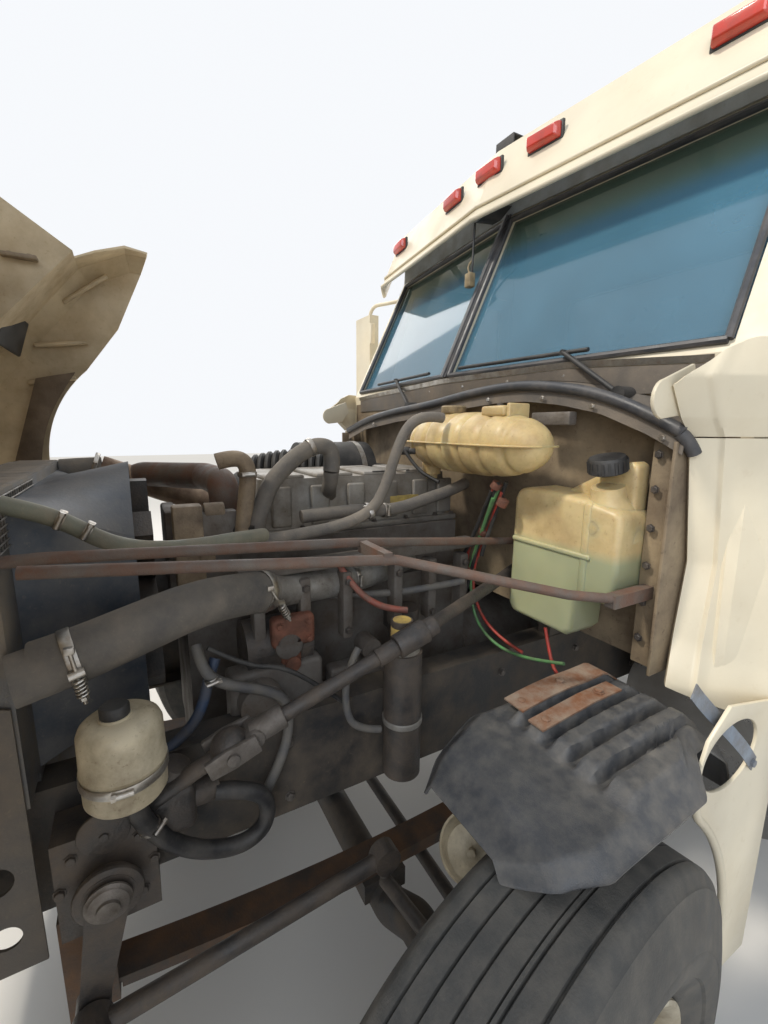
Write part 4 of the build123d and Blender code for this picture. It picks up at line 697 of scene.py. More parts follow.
def makeRim(centre, outward, disc, sides=60):
    centre, outward = Vector(centre), Vector(outward).normalized()
    outer, inner = wheelSet["barrelOuter"], wheelSet["barrelInner"]
    steps = mirrored(outer) + mirrored(inner)[::-1] + [mirrored(outer)[0]]
    barrel = turned(centre, outward, steps, sides, ring=True)
    lean = 1 if disc > 0 else -1
    discSteps = [(disc - lean * deep, r) for deep, r in wheelSet["disc"]]
    face = turned(centre, outward, discSteps, sides, ring=True)
    cell = cellRule(centre, outward, sides)

    def isHole(c, n):
        k, across, high = cell(c)
        return k % 6 in (0, 1, 2) and -0.092 < (across - disc) * lean < -0.034 and high > 0.19

    pickFaces(face, isHole)
    bpy.ops.mesh.delete(type="FACE")
    bpy.ops.mesh.select_all(action="SELECT")
    closeEdit()
    m = face.modifiers.new("edge", "BEVEL")
    m.width = 0.002
    m.segments = 1
    bake(face)
    return joined([barrel, face])


def makeHub(centre, outward, disc, front):
    centre, outward = Vector(centre), Vector(outward).normalized()
    steps = wheelSet["frontHub" if front else "driveHub"]
    body = turned(centre, outward, [(disc + push, r) for push, r in steps], 40)
    s, cap = wheelSet["nuts"], wheelSet["frontCap" if front else "driveCap"]
    spots = ringSpots(centre, outward, disc + 0.0005, s["circle"], s["count"])
    nuts = boltHeads(spots, outward, s["size"], s["tall"])
    studs = [rod(spot, spot + outward * s["studLong"], s["stud"], 10) for spot in spots]
    capSpots = ringSpots(centre, outward, disc + cap["push"], cap["circle"], cap["count"], 0.5)
    return joined([body, nuts, boltHeads(capSpots, outward, 0.0062, 0.005)] + studs)


def makeDrum(centre, outward, low, high):
    steps = [(low, 0.226), (low, 0.2262), (low + 0.012, 0.2265), (low + 0.014, 0.218), (high - 0.03, 0.216),
             (high - 0.012, 0.205), (high, 0.150), (high, 0.112), (high - 0.010, 0.112), (high - 0.012, 0.148),
             (high - 0.03, 0.196), (low + 0.004, 0.204), (low, 0.226)]
    return turned(centre, outward, steps, 40, ring=True)


for side, sideName in bothSides:
    joint = joints["wheel_front_" + sideName + "_spin"]
    centre = Vector(joint["pos_m"])
    outward = Vector(joint["axis"]) * side
    node = "wheel_front_" + sideName
    tyre = makeTyre(centre, outward, wheelSet["frontGrooves"], 144, False)
    dressed(tyre, "tyre_front_" + sideName, "tyreRubber", node, 32)
    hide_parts(node)
    dressed(makeRim(centre, outward, wheelSet["offset"]), "rim_front_" + sideName, "rimCream", node, angle=32)
    dressed(makeHub(centre, outward, wheelSet["offset"], True), "hub_front_" + sideName, "greasedSteel", node)
    drum = makeDrum(centre, outward, -0.060, wheelSet["offset"] - 0.030)
    dressed(drum, "drum_front_" + sideName, "rustySpring", node)
for place in ("forward", "rearward"):
    for side, sideName in bothSides:
        node = "wheel_" + place + "_" + sideName
        centre = Vector(joints[node + "_spin"]["pos_m"])
        outward = Vector((side, 0, 0))
        pair, rims = [], []
        for step in (1, -1):
            middle = centre + outward * step * wheelSet["dual"] / 2
            pair.append(makeTyre(middle, outward, wheelSet["driveGrooves"], 96, True))
            rims.append(makeRim(middle, outward, -step * wheelSet["offset"]))
        tyre = dressed(joined(pair), "tyres_" + place + "_" + sideName, "tyreRubber", node, 32)
        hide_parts(node)
        dressed(joined(rims), "rims_" + place + "_" + sideName, "rimCream", node, angle=32)
        dressed(makeHub(centre, outward, 0.004, False), "hub_" + place + "_" + sideName, "greasedSteel", node)
        drum = makeDrum(centre, outward, -0.290, -0.034)
        dressed(drum, "drum_" + place + "_" + sideName, "rustySpring", node)
print("wheels built")

# Surge tank: a yellowed ribbed drum on its side, with a seam, two necks and a sensor
surgeSet = {"x": (0.030, 0.6145), "y": (0.285, 0.475), "z": (1.578, 1.763), "ribs": 7, "ribDeep": 0.0085,
            "cap": (0.230, 0.380),
            "outletSteps": ((1.546, 0.020), (1.560, 0.021), (1.562, 0.030), (1.600, 0.034)),
            "capSteps": ((1.762, 0.038), (1.766, 0.040), (1.781, 0.040), (1.785, 0.036))}


def makeSurgeTank(s):
    middle = Vector(at(*[(s[k][0] + s[k][1]) / 2 for k in "xyz"]))
    halfLong, deep, tall = [(s[k][1] - s[k][0]) / 2 for k in "xyz"]
    steps = []
    count = 72
    for i in range(count + 1):
        t = -0.996 + 1.992 * i / count
        swell = (1 - abs(t) ** 3.2) ** (1 / 2.3)
        rib = abs(math.sin(math.pi * (t + 1) / 2 * s["ribs"]))
        groove = s["ribDeep"] * max(0.0, 1 - rib / 0.55) if abs(t) < 0.84 else 0
        steps.append((t * halfLong, max(tall * swell - groove, 0.012)))
    obj = turned(middle, (1, 0, 0), steps, 56)
    obj.scale = (1, deep / tall, 1)
    obj.location = (0, middle.y * (1 - deep / tall), 0)
    settle(obj)
    seam = turned(middle, (0, 0, 1), [(-0.0025, 0.1), (0.0025, 0.1)], 96)
    for v in seam.data.vertices:  # the welded seam follows the drum's own outline
        a = math.atan2(v.co.y - middle.y, v.co.x - middle.x)
        c, w = math.cos(a), math.sin(a)
        v.co.x = middle.x + halfLong * abs(c) ** 0.45 * (1 if c > 0 else -1)
        v.co.y = middle.y + (deep + 0.0045) * abs(w) ** 0.62 * (1 if w > 0 else -1)
    soften(seam, 0.001, 1, 60)
    capX, capY = s["cap"]
    neck = turned(at(capX, capY, 0), (0, 0, 1), [(1.735, 0.036), (1.757, 0.034), (1.765, 0.030)], 32)
    outlet = turned(at(0.13, 0.37, 0), (0, 0, 1), s["outletSteps"], 28)
    lugs = [block(at(0.41, 0.335, 1.748), at(0.50, 0.40, 1.776), 0.008, 3),
            block(at(0.500, 0.345, 1.700), at(0.512, 0.42, 1.782), 0.004, 2)]
    cap = turned(at(capX, capY, 0), (0, 0, 1), s["capSteps"], 12)
    ports = [rod(at(0.115, 0.290, 1.640), at(0.095, 0.262, 1.640), 0.014, 16, 0.002),
             rod(at(0.150, 0.290, 1.640), at(0.140, 0.272, 1.640), 0.010, 16, 0.002)]
    return joined([obj, seam, neck, outlet] + lugs), cap, joined(ports)


tank, tankCap, tankPorts = makeSurgeTank(surgeSet)
dressed(tank, "surge_tank_body", "agedTank", "chassis", 50)
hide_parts("surge_tank")
dressed(tankCap, "surge_tank_cap", "agedCap")
dressed(tankPorts, "surge_tank_ports", "softBlack")
bands = joined([block(at(0.470, 0.470, 1.725), at(0.600, 0.500, 1.760), 0.004, 2),
                boltHeads([at(0.455, 0.365, 1.776)], (0, 0, 1), 0.009, 0.006)])
dressed(bands, "surge_tank_fixings", "wornCast")
print("surge tank built")

# Washer bottle: stepped bottle with a high back, black ribbed cap and a line of fluid
bottleSet = {
    "y": (0.425, 0.550), "neck": (0.727, 0.475),
    "front": ((0.465, 1.205), (0.480, 1.180), (0.672, 1.180), (0.690, 1.200), (0.694, 1.285), (0.715, 1.297),
              (0.780, 1.300), (0.797, 1.320), (0.799, 1.505), (0.790, 1.528), (0.700, 1.545), (0.620, 1.553),
              (0.520, 1.556), (0.478, 1.546), (0.468, 1.520)),
    "back": ((0.560, 1.535), (0.785, 1.50), (0.785, 1.634), (0.770, 1.640), (0.742, 1.636), (0.690, 1.607)),
    "shoulder": ((1.500, 0.075), (1.545, 0.070), (1.585, 0.052), (1.600, 0.042), (1.628, 0.038)),
    "lean": (0.0, -0.25, 1),
    "cap": ((0, 0.036), (0.004, 0.044), (0.034, 0.044), (0.040, 0.040), (0.041, 0.020)), "capSides": 40,
}


def makeWasherBottle(s):
    y0, y1 = s["y"]
    front = plate([at(x, y0, z) for x, z in s["front"]], (0, y1 - y0, 0), 0.0)
    soften(front, 0.016, 4, 50)
    back = plate([at(x, 0.492, z) for x, z in s["back"]], (0, 0.055, 0), 0.0)
    soften(back, 0.012, 3, 50)
    shoulder = turned(at(*s["neck"], 0), s["lean"], s["shoulder"], 32)
    shoulder.location = (0, 0.39, 0)
    settle(shoulder)
    rib = block(at(0.700, y0 - 0.003, 1.30), at(0.722, y0 + 0.01, 1.54), 0.006, 3)
    shelf = block(at(0.474, y0 - 0.006, 1.398), at(0.730, y0 + 0.01, 1.412), 0.005, 3)
    return joined([front, back, shoulder, rib, shelf])


bottle = makeWasherBottle(bottleSet)
dressed(bottle, "washer_bottle_body", "bottlePlastic", "chassis", 50)
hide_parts("washer_bottle")
capTurn = Vector(bottleSet["lean"]).normalized()
capPlace = Vector(at(bottleSet["neck"][0], bottleSet["neck"][1] - 0.008, 1.612))
capSides = bottleSet["capSides"]
cap = turned(capPlace, capTurn, bottleSet["cap"], capSides)


def isRidge(c, n):  # every second side face of the cap
    turn = math.atan2((c - capPlace).y, (c - capPlace).x) / math.tau + 1
    return abs(n.dot(capTurn)) < 0.2 and int(turn * capSides) % 2 == 0


pickFaces(cap, isRidge)
bpy.ops.mesh.inset(thickness=0.0012, use_individual=True)
bpy.ops.mesh.extrude_region_shrink_fatten(TRANSFORM_OT_shrink_fatten={"value": 0.0018})
closeEdit()
dressed(cap, "washer_cap", "softBlack")
print("washer bottle built")

# Steering fluid canister: cream drum with a domed lid, black cap and band
canSet = {"x": 0.600, "y": -0.585, "low": 1.085, "high": 1.235, "r": 0.066,
          "cap": ((1.238, 0.021), (1.240, 0.023), (1.254, 0.023), (1.258, 0.020), (1.259, 0.008))}


def makeCanister(s):
    low, high, r = s["low"], s["high"], s["r"]
    steps = [(low, r - 0.016), (low + 0.004, r - 0.006), (low + 0.012, r - 0.001), (1.150, r),
             (1.1515, r + 0.0015), (1.153, r), (high - 0.020, r - 0.001), (high - 0.010, r - 0.005),
             (high - 0.003, r - 0.014), (high, r - 0.028), (high + 0.001, 0.02)]
    body = turned(at(s["x"], s["y"], 0), (0, 0, 1), steps, 48)
    neck = turned(at(s["x"] + 0.002, s["y"] - 0.006, 0), (0, 0, 1), [(1.232, 0.026), (1.240, 0.025)], 28)
    return joined([body, neck])


can = dressed(makeCanister(canSet), "fluid_canister", "creamReservoir", "chassis", 45)
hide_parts("fluid_reservoir")
canCap = turned(at(0.602, -0.591, 0), (0, 0, 1), canSet["cap"], 20)
dressed(canCap, "fluid_cap", "softBlack")
canBand = joined([hoseBand(at(0.600, -0.585, 1.137), (0, 0, 1), 0.0665, 0.016),
                  block(at(0.455, -0.60, 1.125), at(0.540, -0.585, 1.150), 0.002),
                  block(at(0.440, -0.625, 1.020), at(0.456, -0.56, 1.150), 0.002)])
dressed(canBand, "fluid_band", "bandSteel")
print("canister built")

# Fender liners: moulded shells with long ribs, a curled lip and rusty straps
linerSet = {
    "profile": ((-0.075, 1.048), (-0.03, 1.066), (0.06, 1.086), (0.30, 1.110), (0.43, 1.112), (0.56, 1.020),
                (0.63, 0.885)),
    "inner": ((-0.075, 0.770), (-0.03, 0.742), (0.105, 0.694), (0.236, 0.711), (0.457, 0.737), (0.63, 0.780)),
    "outer": ((-0.075, 0.985), (-0.03, 1.058), (0.038, 1.096), (0.290, 1.096), (0.394, 1.024), (0.63, 1.010)),
    "grooves": (0.812, 0.872, 0.932, 0.992), "wall": 0.005,
}


def along(table, y):
    for (y0, v0), (y1, v1) in zip(table, table[1:]):
        if y <= y1:
            k = (y - y0) / (y1 - y0)
            return v0 + (v1 - v0) * max(0.0, k)
    return table[-1][1]


def softStep(v):
    v = max(0.0, min(1.0, v))
    return v * v * (3 - 2 * v)


def makeLiner(side, s):
    def lay(u, w):
        y = -0.075 + 0.705 * w
        inner, outer = along(s["inner"], y), along(s["outer"], y)
        x = inner + (outer - inner) * u
        z = along(s["profile"], y)
        edge = min(u, 1 - u)
        z -= 0.030 * (1 - softStep(u / 0.10)) + 0.026 * (1 - softStep((1 - u) / 0.10))
        z -= 0.020 * (1 - softStep(w / 0.10))
        if 0.13 < y < 0.52:
            inside = softStep((y - 0.13) / 0.03) * softStep((0.52 - y) / 0.04)
            inside *= softStep((x - 0.775) / 0.012) * softStep((outer - 0.035 - x) / 0.015)
            groove = max(1 - softStep((abs(x - g) - 0.008) / 0.009) for g in s["grooves"])
            z += inside * (0.020 - 0.030 * groove)
        return at(side * x, y, z)

    return skin(96, 72, lay, s["wall"])


def strapRule(side, x, wide, y, long, lift, wave):  # a flat bar lying on the liner
    def lay(u, w):
        reach = y + long * w
        z = along(linerSet["profile"], reach) + lift + wave * math.sin(w * 9)
        return at(side * (x + wide * u), reach, z)

    return lay


liners = [makeLiner(1, linerSet), makeLiner(-1, linerSet)]
liner = dressed(joined(liners), "fender_liner_shells", "linerPlastic", "chassis", 45)
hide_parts("fender_liners")
for side, sideName in bothSides:
    strapA = skin(6, 24, strapRule(side, 0.742, 0.056, 0.155, 0.400, 0.024, 0.002), 0.004)
    strapB = skin(6, 18, strapRule(side, 0.822, 0.040, 0.145, 0.250, 0.0235, 0.0), 0.004)
    spots = [at(side * 0.770, 0.18, 1.120), at(side * 0.770, 0.30, 1.134),
             at(side * 0.842, 0.175, 1.119), at(side * 0.842, 0.34, 1.137)]
    bolts = boltHeads(spots, (0, 0, 1), 0.010, 0.006)
    dressed(joined([strapA, strapB, bolts]), "liner_straps_" + sideName, "rustyStrap")
print("liners built")

# Cowl: tray under the seal, the black seal tube, trim under the glass and its bolts
cowlSet = {
    "seal": ((-0.80, 1.700), (-0.598, 1.753), (-0.30, 1.786), (-0.048, 1.802), (0.15, 1.826), (0.327, 1.838),
             (0.44, 1.836), (0.555, 1.822), (0.676, 1.797), (0.805, 1.746), (0.880, 1.706)),
    "glassBase": ((-0.86, 1.868), (-0.643, 1.875), (-0.037, 1.886), (0.522, 1.890), (0.86, 1.868)),
    "front": 0.470, "tray": (-0.80, 0.88), "apron": (-0.86, 0.86), "trim": (-0.87, 0.87),
    "clearHood": 0.008, "trayClearHood": 0.016,
}


def pushedBack(obj, step=cowlSet["clearHood"]):  # so that the shut hood clears it
    hold(obj)
    bpy.ops.transform.translate(value=(0, step, 0))
    settle(obj)
    return obj


def between(ends, u):
    return ends[0] + (ends[1] - ends[0]) * u


def faceY(x, z):  # the cab's leaning front, plain below the windshield's foot and leaning back above it
    below, above = min(0.0, z - 1.88) / 0.75 + 1, max(0.0, z - 1.88) / 0.625
    nose = 0.585 - 0.080 * below + 0.290 * above
    corner = 0.585 + 0.015 * below + 0.290 * above
    return nose + (corner - nose) * abs(x) / (0.955 - 0.030 * above)


def sealZ(x):
    return along(cowlSet["seal"], x)


def traySpot(u, w):
    x = between(cowlSet["tray"], u)
    y = between((cowlSet["front"], faceY(x, 1.82) - 0.004), w)
    return at(x, y, sealZ(x) - 0.014 + 0.045 * w * w)


def trayLipSpot(u, w):
    x = between(cowlSet["tray"], u)
    return at(x, cowlSet["front"] + 0.004 * w, sealZ(x) - 0.014 - 0.030 * (1 - w))


def apronSpot(u, w):
    x = between(cowlSet["apron"], u)
    foot = max(1.800, sealZ(max(-0.80, min(0.88, x))) + 0.02)
    top = along(cowlSet["glassBase"], x) - 0.010
    return at(x, faceY(x, 1.80 + 0.070 * w) - 0.004, foot * (1 - w) + top * w)


def trimSpot(u, w):
    x = between(cowlSet["trim"], u)
    z = along(cowlSet["glassBase"], max(-0.86, min(0.86, x)))
    return at(x, faceY(x, 1.885) - 0.008 - 0.004 * w, z - 0.008 + 0.016 * w)


trayPair = joined([skin(60, 6, traySpot, 0.003), skin(60, 3, trayLipSpot, 0.003)])
pushedBack(dressed(trayPair, "cowl_tray", "cowlGrey"), cowlSet["trayClearHood"])
seal = tube(places([(x, 0.478, z + 0.002) for x, z in cowlSet["seal"]]), 0.0145, 4)
sealTail = tube(places([(0.872, 0.478, 1.708), (0.885, 0.490, 1.690), (0.890, 0.505, 1.665)]), 0.0145, 4)
pushedBack(dressed(joined([seal, sealTail]), "cowl_seal", "sealRubber"))
dressed(skin(48, 2, apronSpot, 0.003), "cowl_apron", "cowlGrey")
dressed(skin(48, 2, trimSpot, 0.003), "glass_trim", "bandSteel")
spots = [at(x, faceY(x, 1.86) - 0.0075, along(cowlSet["glassBase"], x) - 0.026)
         for x in (-0.7, -0.5, -0.3, -0.1, 0.1, 0.3, 0.5, 0.7)]
spots += [at(x, cowlSet["front"] - 0.001, sealZ(x) - 0.030) for x in (-0.5, -0.1, 0.28, 0.50, 0.66, 0.84)]
pushedBack(dressed(boltHeads(spots, (0, -1, 0), 0.006, 0.004), "cowl_bolts", "bandSteel"))

# Rubber round the windshield panes
edge = []
for ends in ((-0.885, -0.020), (0.020, 0.885)):
    across = [between(ends, t) for t in (0, 0.25, 0.5, 0.75, 1)]
    bottom = [(x, faceY(x, 1.905) - 0.006, 1.905) for x in across]
    top = [(0.97 * x, faceY(0.97 * x, 2.478) - 0.006, 2.478) for x in reversed(across)]
    loop = bottom + top + [bottom[0]]
    for a, b in zip(loop, loop[1:]):
        edge.append(rod(at(*a), at(*b), 0.0095, 8))
dressed(joined(edge), "windshield_rubber", "sealRubber")

# Quarter panels: curved skins from the firewall's edge to the door, seam, bead and lobe
quarterSet = {"front": ((1.03, 0.560), (1.131, 0.520), (1.42, 0.553), (1.70, 0.498), (1.74, 0.455),
                        (1.82, 0.400), (1.90, 0.47)), "seam": 1.700, "low": 1.075, "high": 1.895}


def makeQuarter(side, z0, z1, s):
    def lay(u, w):
        top = z1 - (0.095 * (1 - softStep(u / 0.45)) if z1 > 1.8 else 0)
        bottom = z0 + (0.060 * (1 - u) - 0.03 * u if z0 < 1.2 else 0.0)
        z = bottom + (top - bottom) * w
        yf = along(s["front"], z)
        x = 0.872 + 0.172 * u ** 0.92
        y = yf + (0.735 - yf) * u ** 1.25
        y += 0.022 * (1 - softStep(u / 0.05))
        y -= 0.010 * math.exp(-((u - 0.30) / 0.035) ** 2)
        x += 0.003 * math.sin(u * math.pi)
        if z0 < 1.2 and z < bottom + 0.13:  # the skin kicks out over the arch
            kick = 1 - softStep((z - bottom) / 0.13)
            x += 0.012 * kick
            y -= 0.018 * kick
        return at(side * x, y, z)

    return skin(40, 60, lay, 0.004)


quarters = []
for side in (1, -1):
    quarters.append(makeQuarter(side, quarterSet["low"], quarterSet["seam"] - 0.002, quarterSet))
    quarters.append(makeQuarter(side, quarterSet["seam"] + 0.002, quarterSet["high"], quarterSet))
    turns = [math.radians(100 + 16 * k) for k in range(11)]
    outline = [(0.410 + 0.040 * math.cos(a), 1.775 + 0.040 * math.sin(a)) for a in turns]
    outline += [(0.480, 1.745), (0.520, 1.800), (0.500, 1.850)]
    quarters.append(plate([at(side * 0.868, y, z) for y, z in outline], (side * 0.009, 0, 0), 0.003))
quarter = dressed(joined(quarters), "quarter_panels", "agedCabPaint", "chassis", 40)


def bored(obj, place, tall, wide, sides, depth):  # an oval hole straight through from the truck's side
    clearPick()
    bpy.ops.mesh.primitive_cylinder_add(vertices=sides, radius=1, depth=depth, location=place,
                                        rotation=(0, math.pi / 2, 0), scale=(tall, wide, 1))
    cutter = bpy.context.object
    settle(cutter)
    m = obj.modifiers.new("hole", "BOOLEAN")
    m.operation = "DIFFERENCE"
    m.object = cutter
    m.solver = "EXACT"
    bake(obj)
    bpy.data.objects.remove(cutter)


def makeSkirt(side):
    arch = []
    for i in range(9):
        a = math.radians(-8 + 58 * i / 8)
        arch.append((0.600 * math.cos(a), 0.505 + 0.600 * math.sin(a)))
    corners = arch + [(0.372, 1.040), (0.400, 1.120), (0.47, 1.175), (0.735, 1.115), (0.735, 0.42)]
    panel = plate([at(side * 1.034, y, z) for y, z in corners], (side * 0.008, 0, 0), 0.0)
    bored(panel, at(side * 1.038, 0.500, 1.055), 0.075, 0.110, 40, 0.2)
    soften(panel, 0.002, 2)
    lip = tube(places([(side * 1.038, y, z) for y, z in arch + [(0.372, 1.040)]]), 0.009, 3)
    return joined([panel, lip])


def archStrapRule(side):  # from under the quarter panel across the slot
    def lay(u, w):
        x = 1.012 + 0.036 * softStep(w * 1.2)
        return at(side * x, 0.372 + 0.215 * w + 0.014 * u, 1.205 - 0.215 * w + 0.028 * u)

    return lay


dressed(joined([makeSkirt(1), makeSkirt(-1)]), "arch_skirts", "agedCabPaint", "chassis")
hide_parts("cowl_panels")
straps = []
for side in (1, -1):
    straps.append(skin(2, 14, archStrapRule(side), 0.003))
    straps.append(boltHeads([at(side * 1.049, 0.585, 1.010)], (side, 0, 0), 0.009, 0.005))
dressed(joined(straps), "arch_straps", "blueGreyPaint")
flangeSet = ((0.868, 0.004, 0.470, 0.575, 0.002), (0.835, 0.035, 0.508, 0.518, 0.003))
flanges = []
for side in (1, -1):
    for x, half, near, far, edge in flangeSet:
        flanges.append(block(at(side * x - half, near, 1.150), at(side * x + half, far, 1.690), edge))
pushedBack(dressed(joined(flanges), "firewall_flanges", "roughBrown"))
spots = [at(x, 0.507, z) for x in (-0.82, 0.82) for z in (1.22, 1.31, 1.40, 1.49, 1.58, 1.66)]
dressed(boltHeads(spots, (0, -1, 0), 0.008, 0.005), "firewall_bolts", "greasyCast")
print("cowl and quarter panels built")

# Visor: rolled lower edge, grey fluted strip over the glass, lamp lenses, roof bracket, rod and hanging box
def fluteSpot(u, w):
    x = between((-0.90, 0.90), u)
    return at(x, faceY(x, 2.50) - 0.006 + 0.003 * w - 0.0022 * abs(math.sin(u * 150)), 2.500 + 0.170 * w)


# the header strip's pale blue-grey is partly its own grey and partly a painted sky reflection
dressed(skin(150, 8, fluteSpot, 0.003), "header_strip", "flutedGrey")
rollHalf = ((0.42, 0.657), (0.85, 0.708), (0.93, 0.757), (1.006, 0.806))
rollPoints = [(-x, y, 2.452) for x, y in reversed(rollHalf)] + [(0.0, 0.607, 2.452)]
rollPoints += [(x, y, 2.452) for x, y in rollHalf]
roll = joined([rod(at(*a), at(*b), 0.0085, 12) for a, b in zip(rollPoints, rollPoints[1:])])
bead = joined([rod(at(x0, y0 + 0.018, z0 + 0.045), at(x1, y1 + 0.018, z1 + 0.045), 0.006, 10)
               for (x0, y0, z0), (x1, y1, z1) in zip(rollPoints[1:], rollPoints[2:-1])])
dressed(joined([roll, bead]), "visor_edge", "agedCabPaint")


def makeLens(x):  # sloped marker lens with a rib and a dark base
    def corners(wider, taller, out):
        low, high, foot, top = x - 0.058 - wider, x + 0.058 + wider, 2.602 - taller, 2.646 + taller
        ends = ((low, foot), (high, foot), (high, top), (low, top))
        return [at(across, 0.676 + 0.1176 * abs(across) - out, z) for across, z in ends]

    lens = plate(corners(0.0, 0.0, 0.0), (0, -0.014, 0), 0.0)
    pickFaces(lens, lambda c, n: n.y < -0.9)
    bpy.ops.mesh.extrude_region_move(TRANSFORM_OT_translate={"value": (0, -0.014, 0)})
    bpy.ops.transform.resize(value=(0.84, 1, 0.66))
    closeEdit()
    soften(lens, 0.004, 3, 25)
    base = plate(corners(0.006, 0.005, 0.004), (0, 0.010, 0), 0.002)
    return lens, base


lenses, bases = zip(*[makeLens(x) for x in (-0.75, -0.235, 0.0, 0.235, 0.75)])
marker = dressed(joined(list(lenses)), "marker_lenses", "redLens", "chassis")
dressed(joined(list(bases)), "marker_bases", "softBlack")
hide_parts("lamps")
tailSteps = ((0, 0.052), (0.006, 0.052), (0.010, 0.048), (0.014, 0.036), (0.0155, 0.015))
tails, tailBoxes = [], []
for side in (1, -1):
    low, high = sorted((side * 0.560, side * 0.830))
    tailBoxes.append(block(at(low, 5.832, 0.800), at(high, 5.878, 0.920), 0.006))
    near, far = sorted((side * 0.433, side * 0.57))
    tailBoxes.append(block(at(near, 5.835, 0.842), at(far, 5.862, 0.878), 0.003))
    for k in range(2):
        middle = (low + high) / 2 + (k - 0.5) * 0.125
        tails.append(turned(at(middle, 5.876, 0.860), (0, 1, 0), tailSteps, 40))
dressed(joined(tails), "tail_lenses", "redLens", "chassis", 25)
dressed(joined(tailBoxes), "tail_boxes", "softBlack")
roofBracket = joined([block(at(-0.045, 0.745, 2.690), at(0.045, 0.751, 2.748), 0.002),
                      block(at(-0.045, 0.751, 2.742), at(0.045, 0.800, 2.748), 0.002),
                      block(at(-0.004, 0.751, 2.700), at(0.004, 0.795, 2.745), 0.002)])
dressed(roofBracket, "roof_bracket", "softBlack")
centreBracket = plate([at(-0.022, 0.640, 2.455), at(0.022, 0.640, 2.455), at(0.016, 0.700, 2.520),
                       at(-0.016, 0.700, 2.520)], (0, 0.085, 0.010), 0.003)
dressed(centreBracket, "visor_bracket", "softBlack")


def dividerSpot(u, w):
    z = 1.90 + 0.60 * w
    return at(-0.016 + 0.032 * u, faceY(0, z) - 0.012, z)


divider = skin(2, 12, dividerSpot, 0.006)
dividerRib = rod(at(0, faceY(0, 1.90) - 0.016, 1.90), at(0, faceY(0, 2.50) - 0.016, 2.50), 0.006, 10)
dressed(joined([divider, dividerRib]), "glass_divider", "sealRubber")
boxBody = block(at(-0.036, 0.612, 2.232), at(-0.004, 0.640, 2.282), 0.005, 3)
hook = tube(places([(-0.020, 0.626, 2.280), (-0.034, 0.626, 2.296), (-0.034, 0.630, 2.318),
                    (-0.022, 0.634, 2.326)]), 0.0035, 3)
leadBox = dressed(joined([boxBody, hook]), "antenna_box", "agedCap")
# the lead hangs free from the header, with the little box at its end
leadPath = places([(-0.02, 0.640, 2.455), (-0.024, 0.640, 2.38), (-0.02, 0.636, 2.32), (-0.018, 0.632, 2.27)])
lead = runCurve("antenna_lead", leadPath, 0.004, 4, 16)
lead.data.materials.append(paints["softBlack"])
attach(lead, "chassis")
print("visor built")

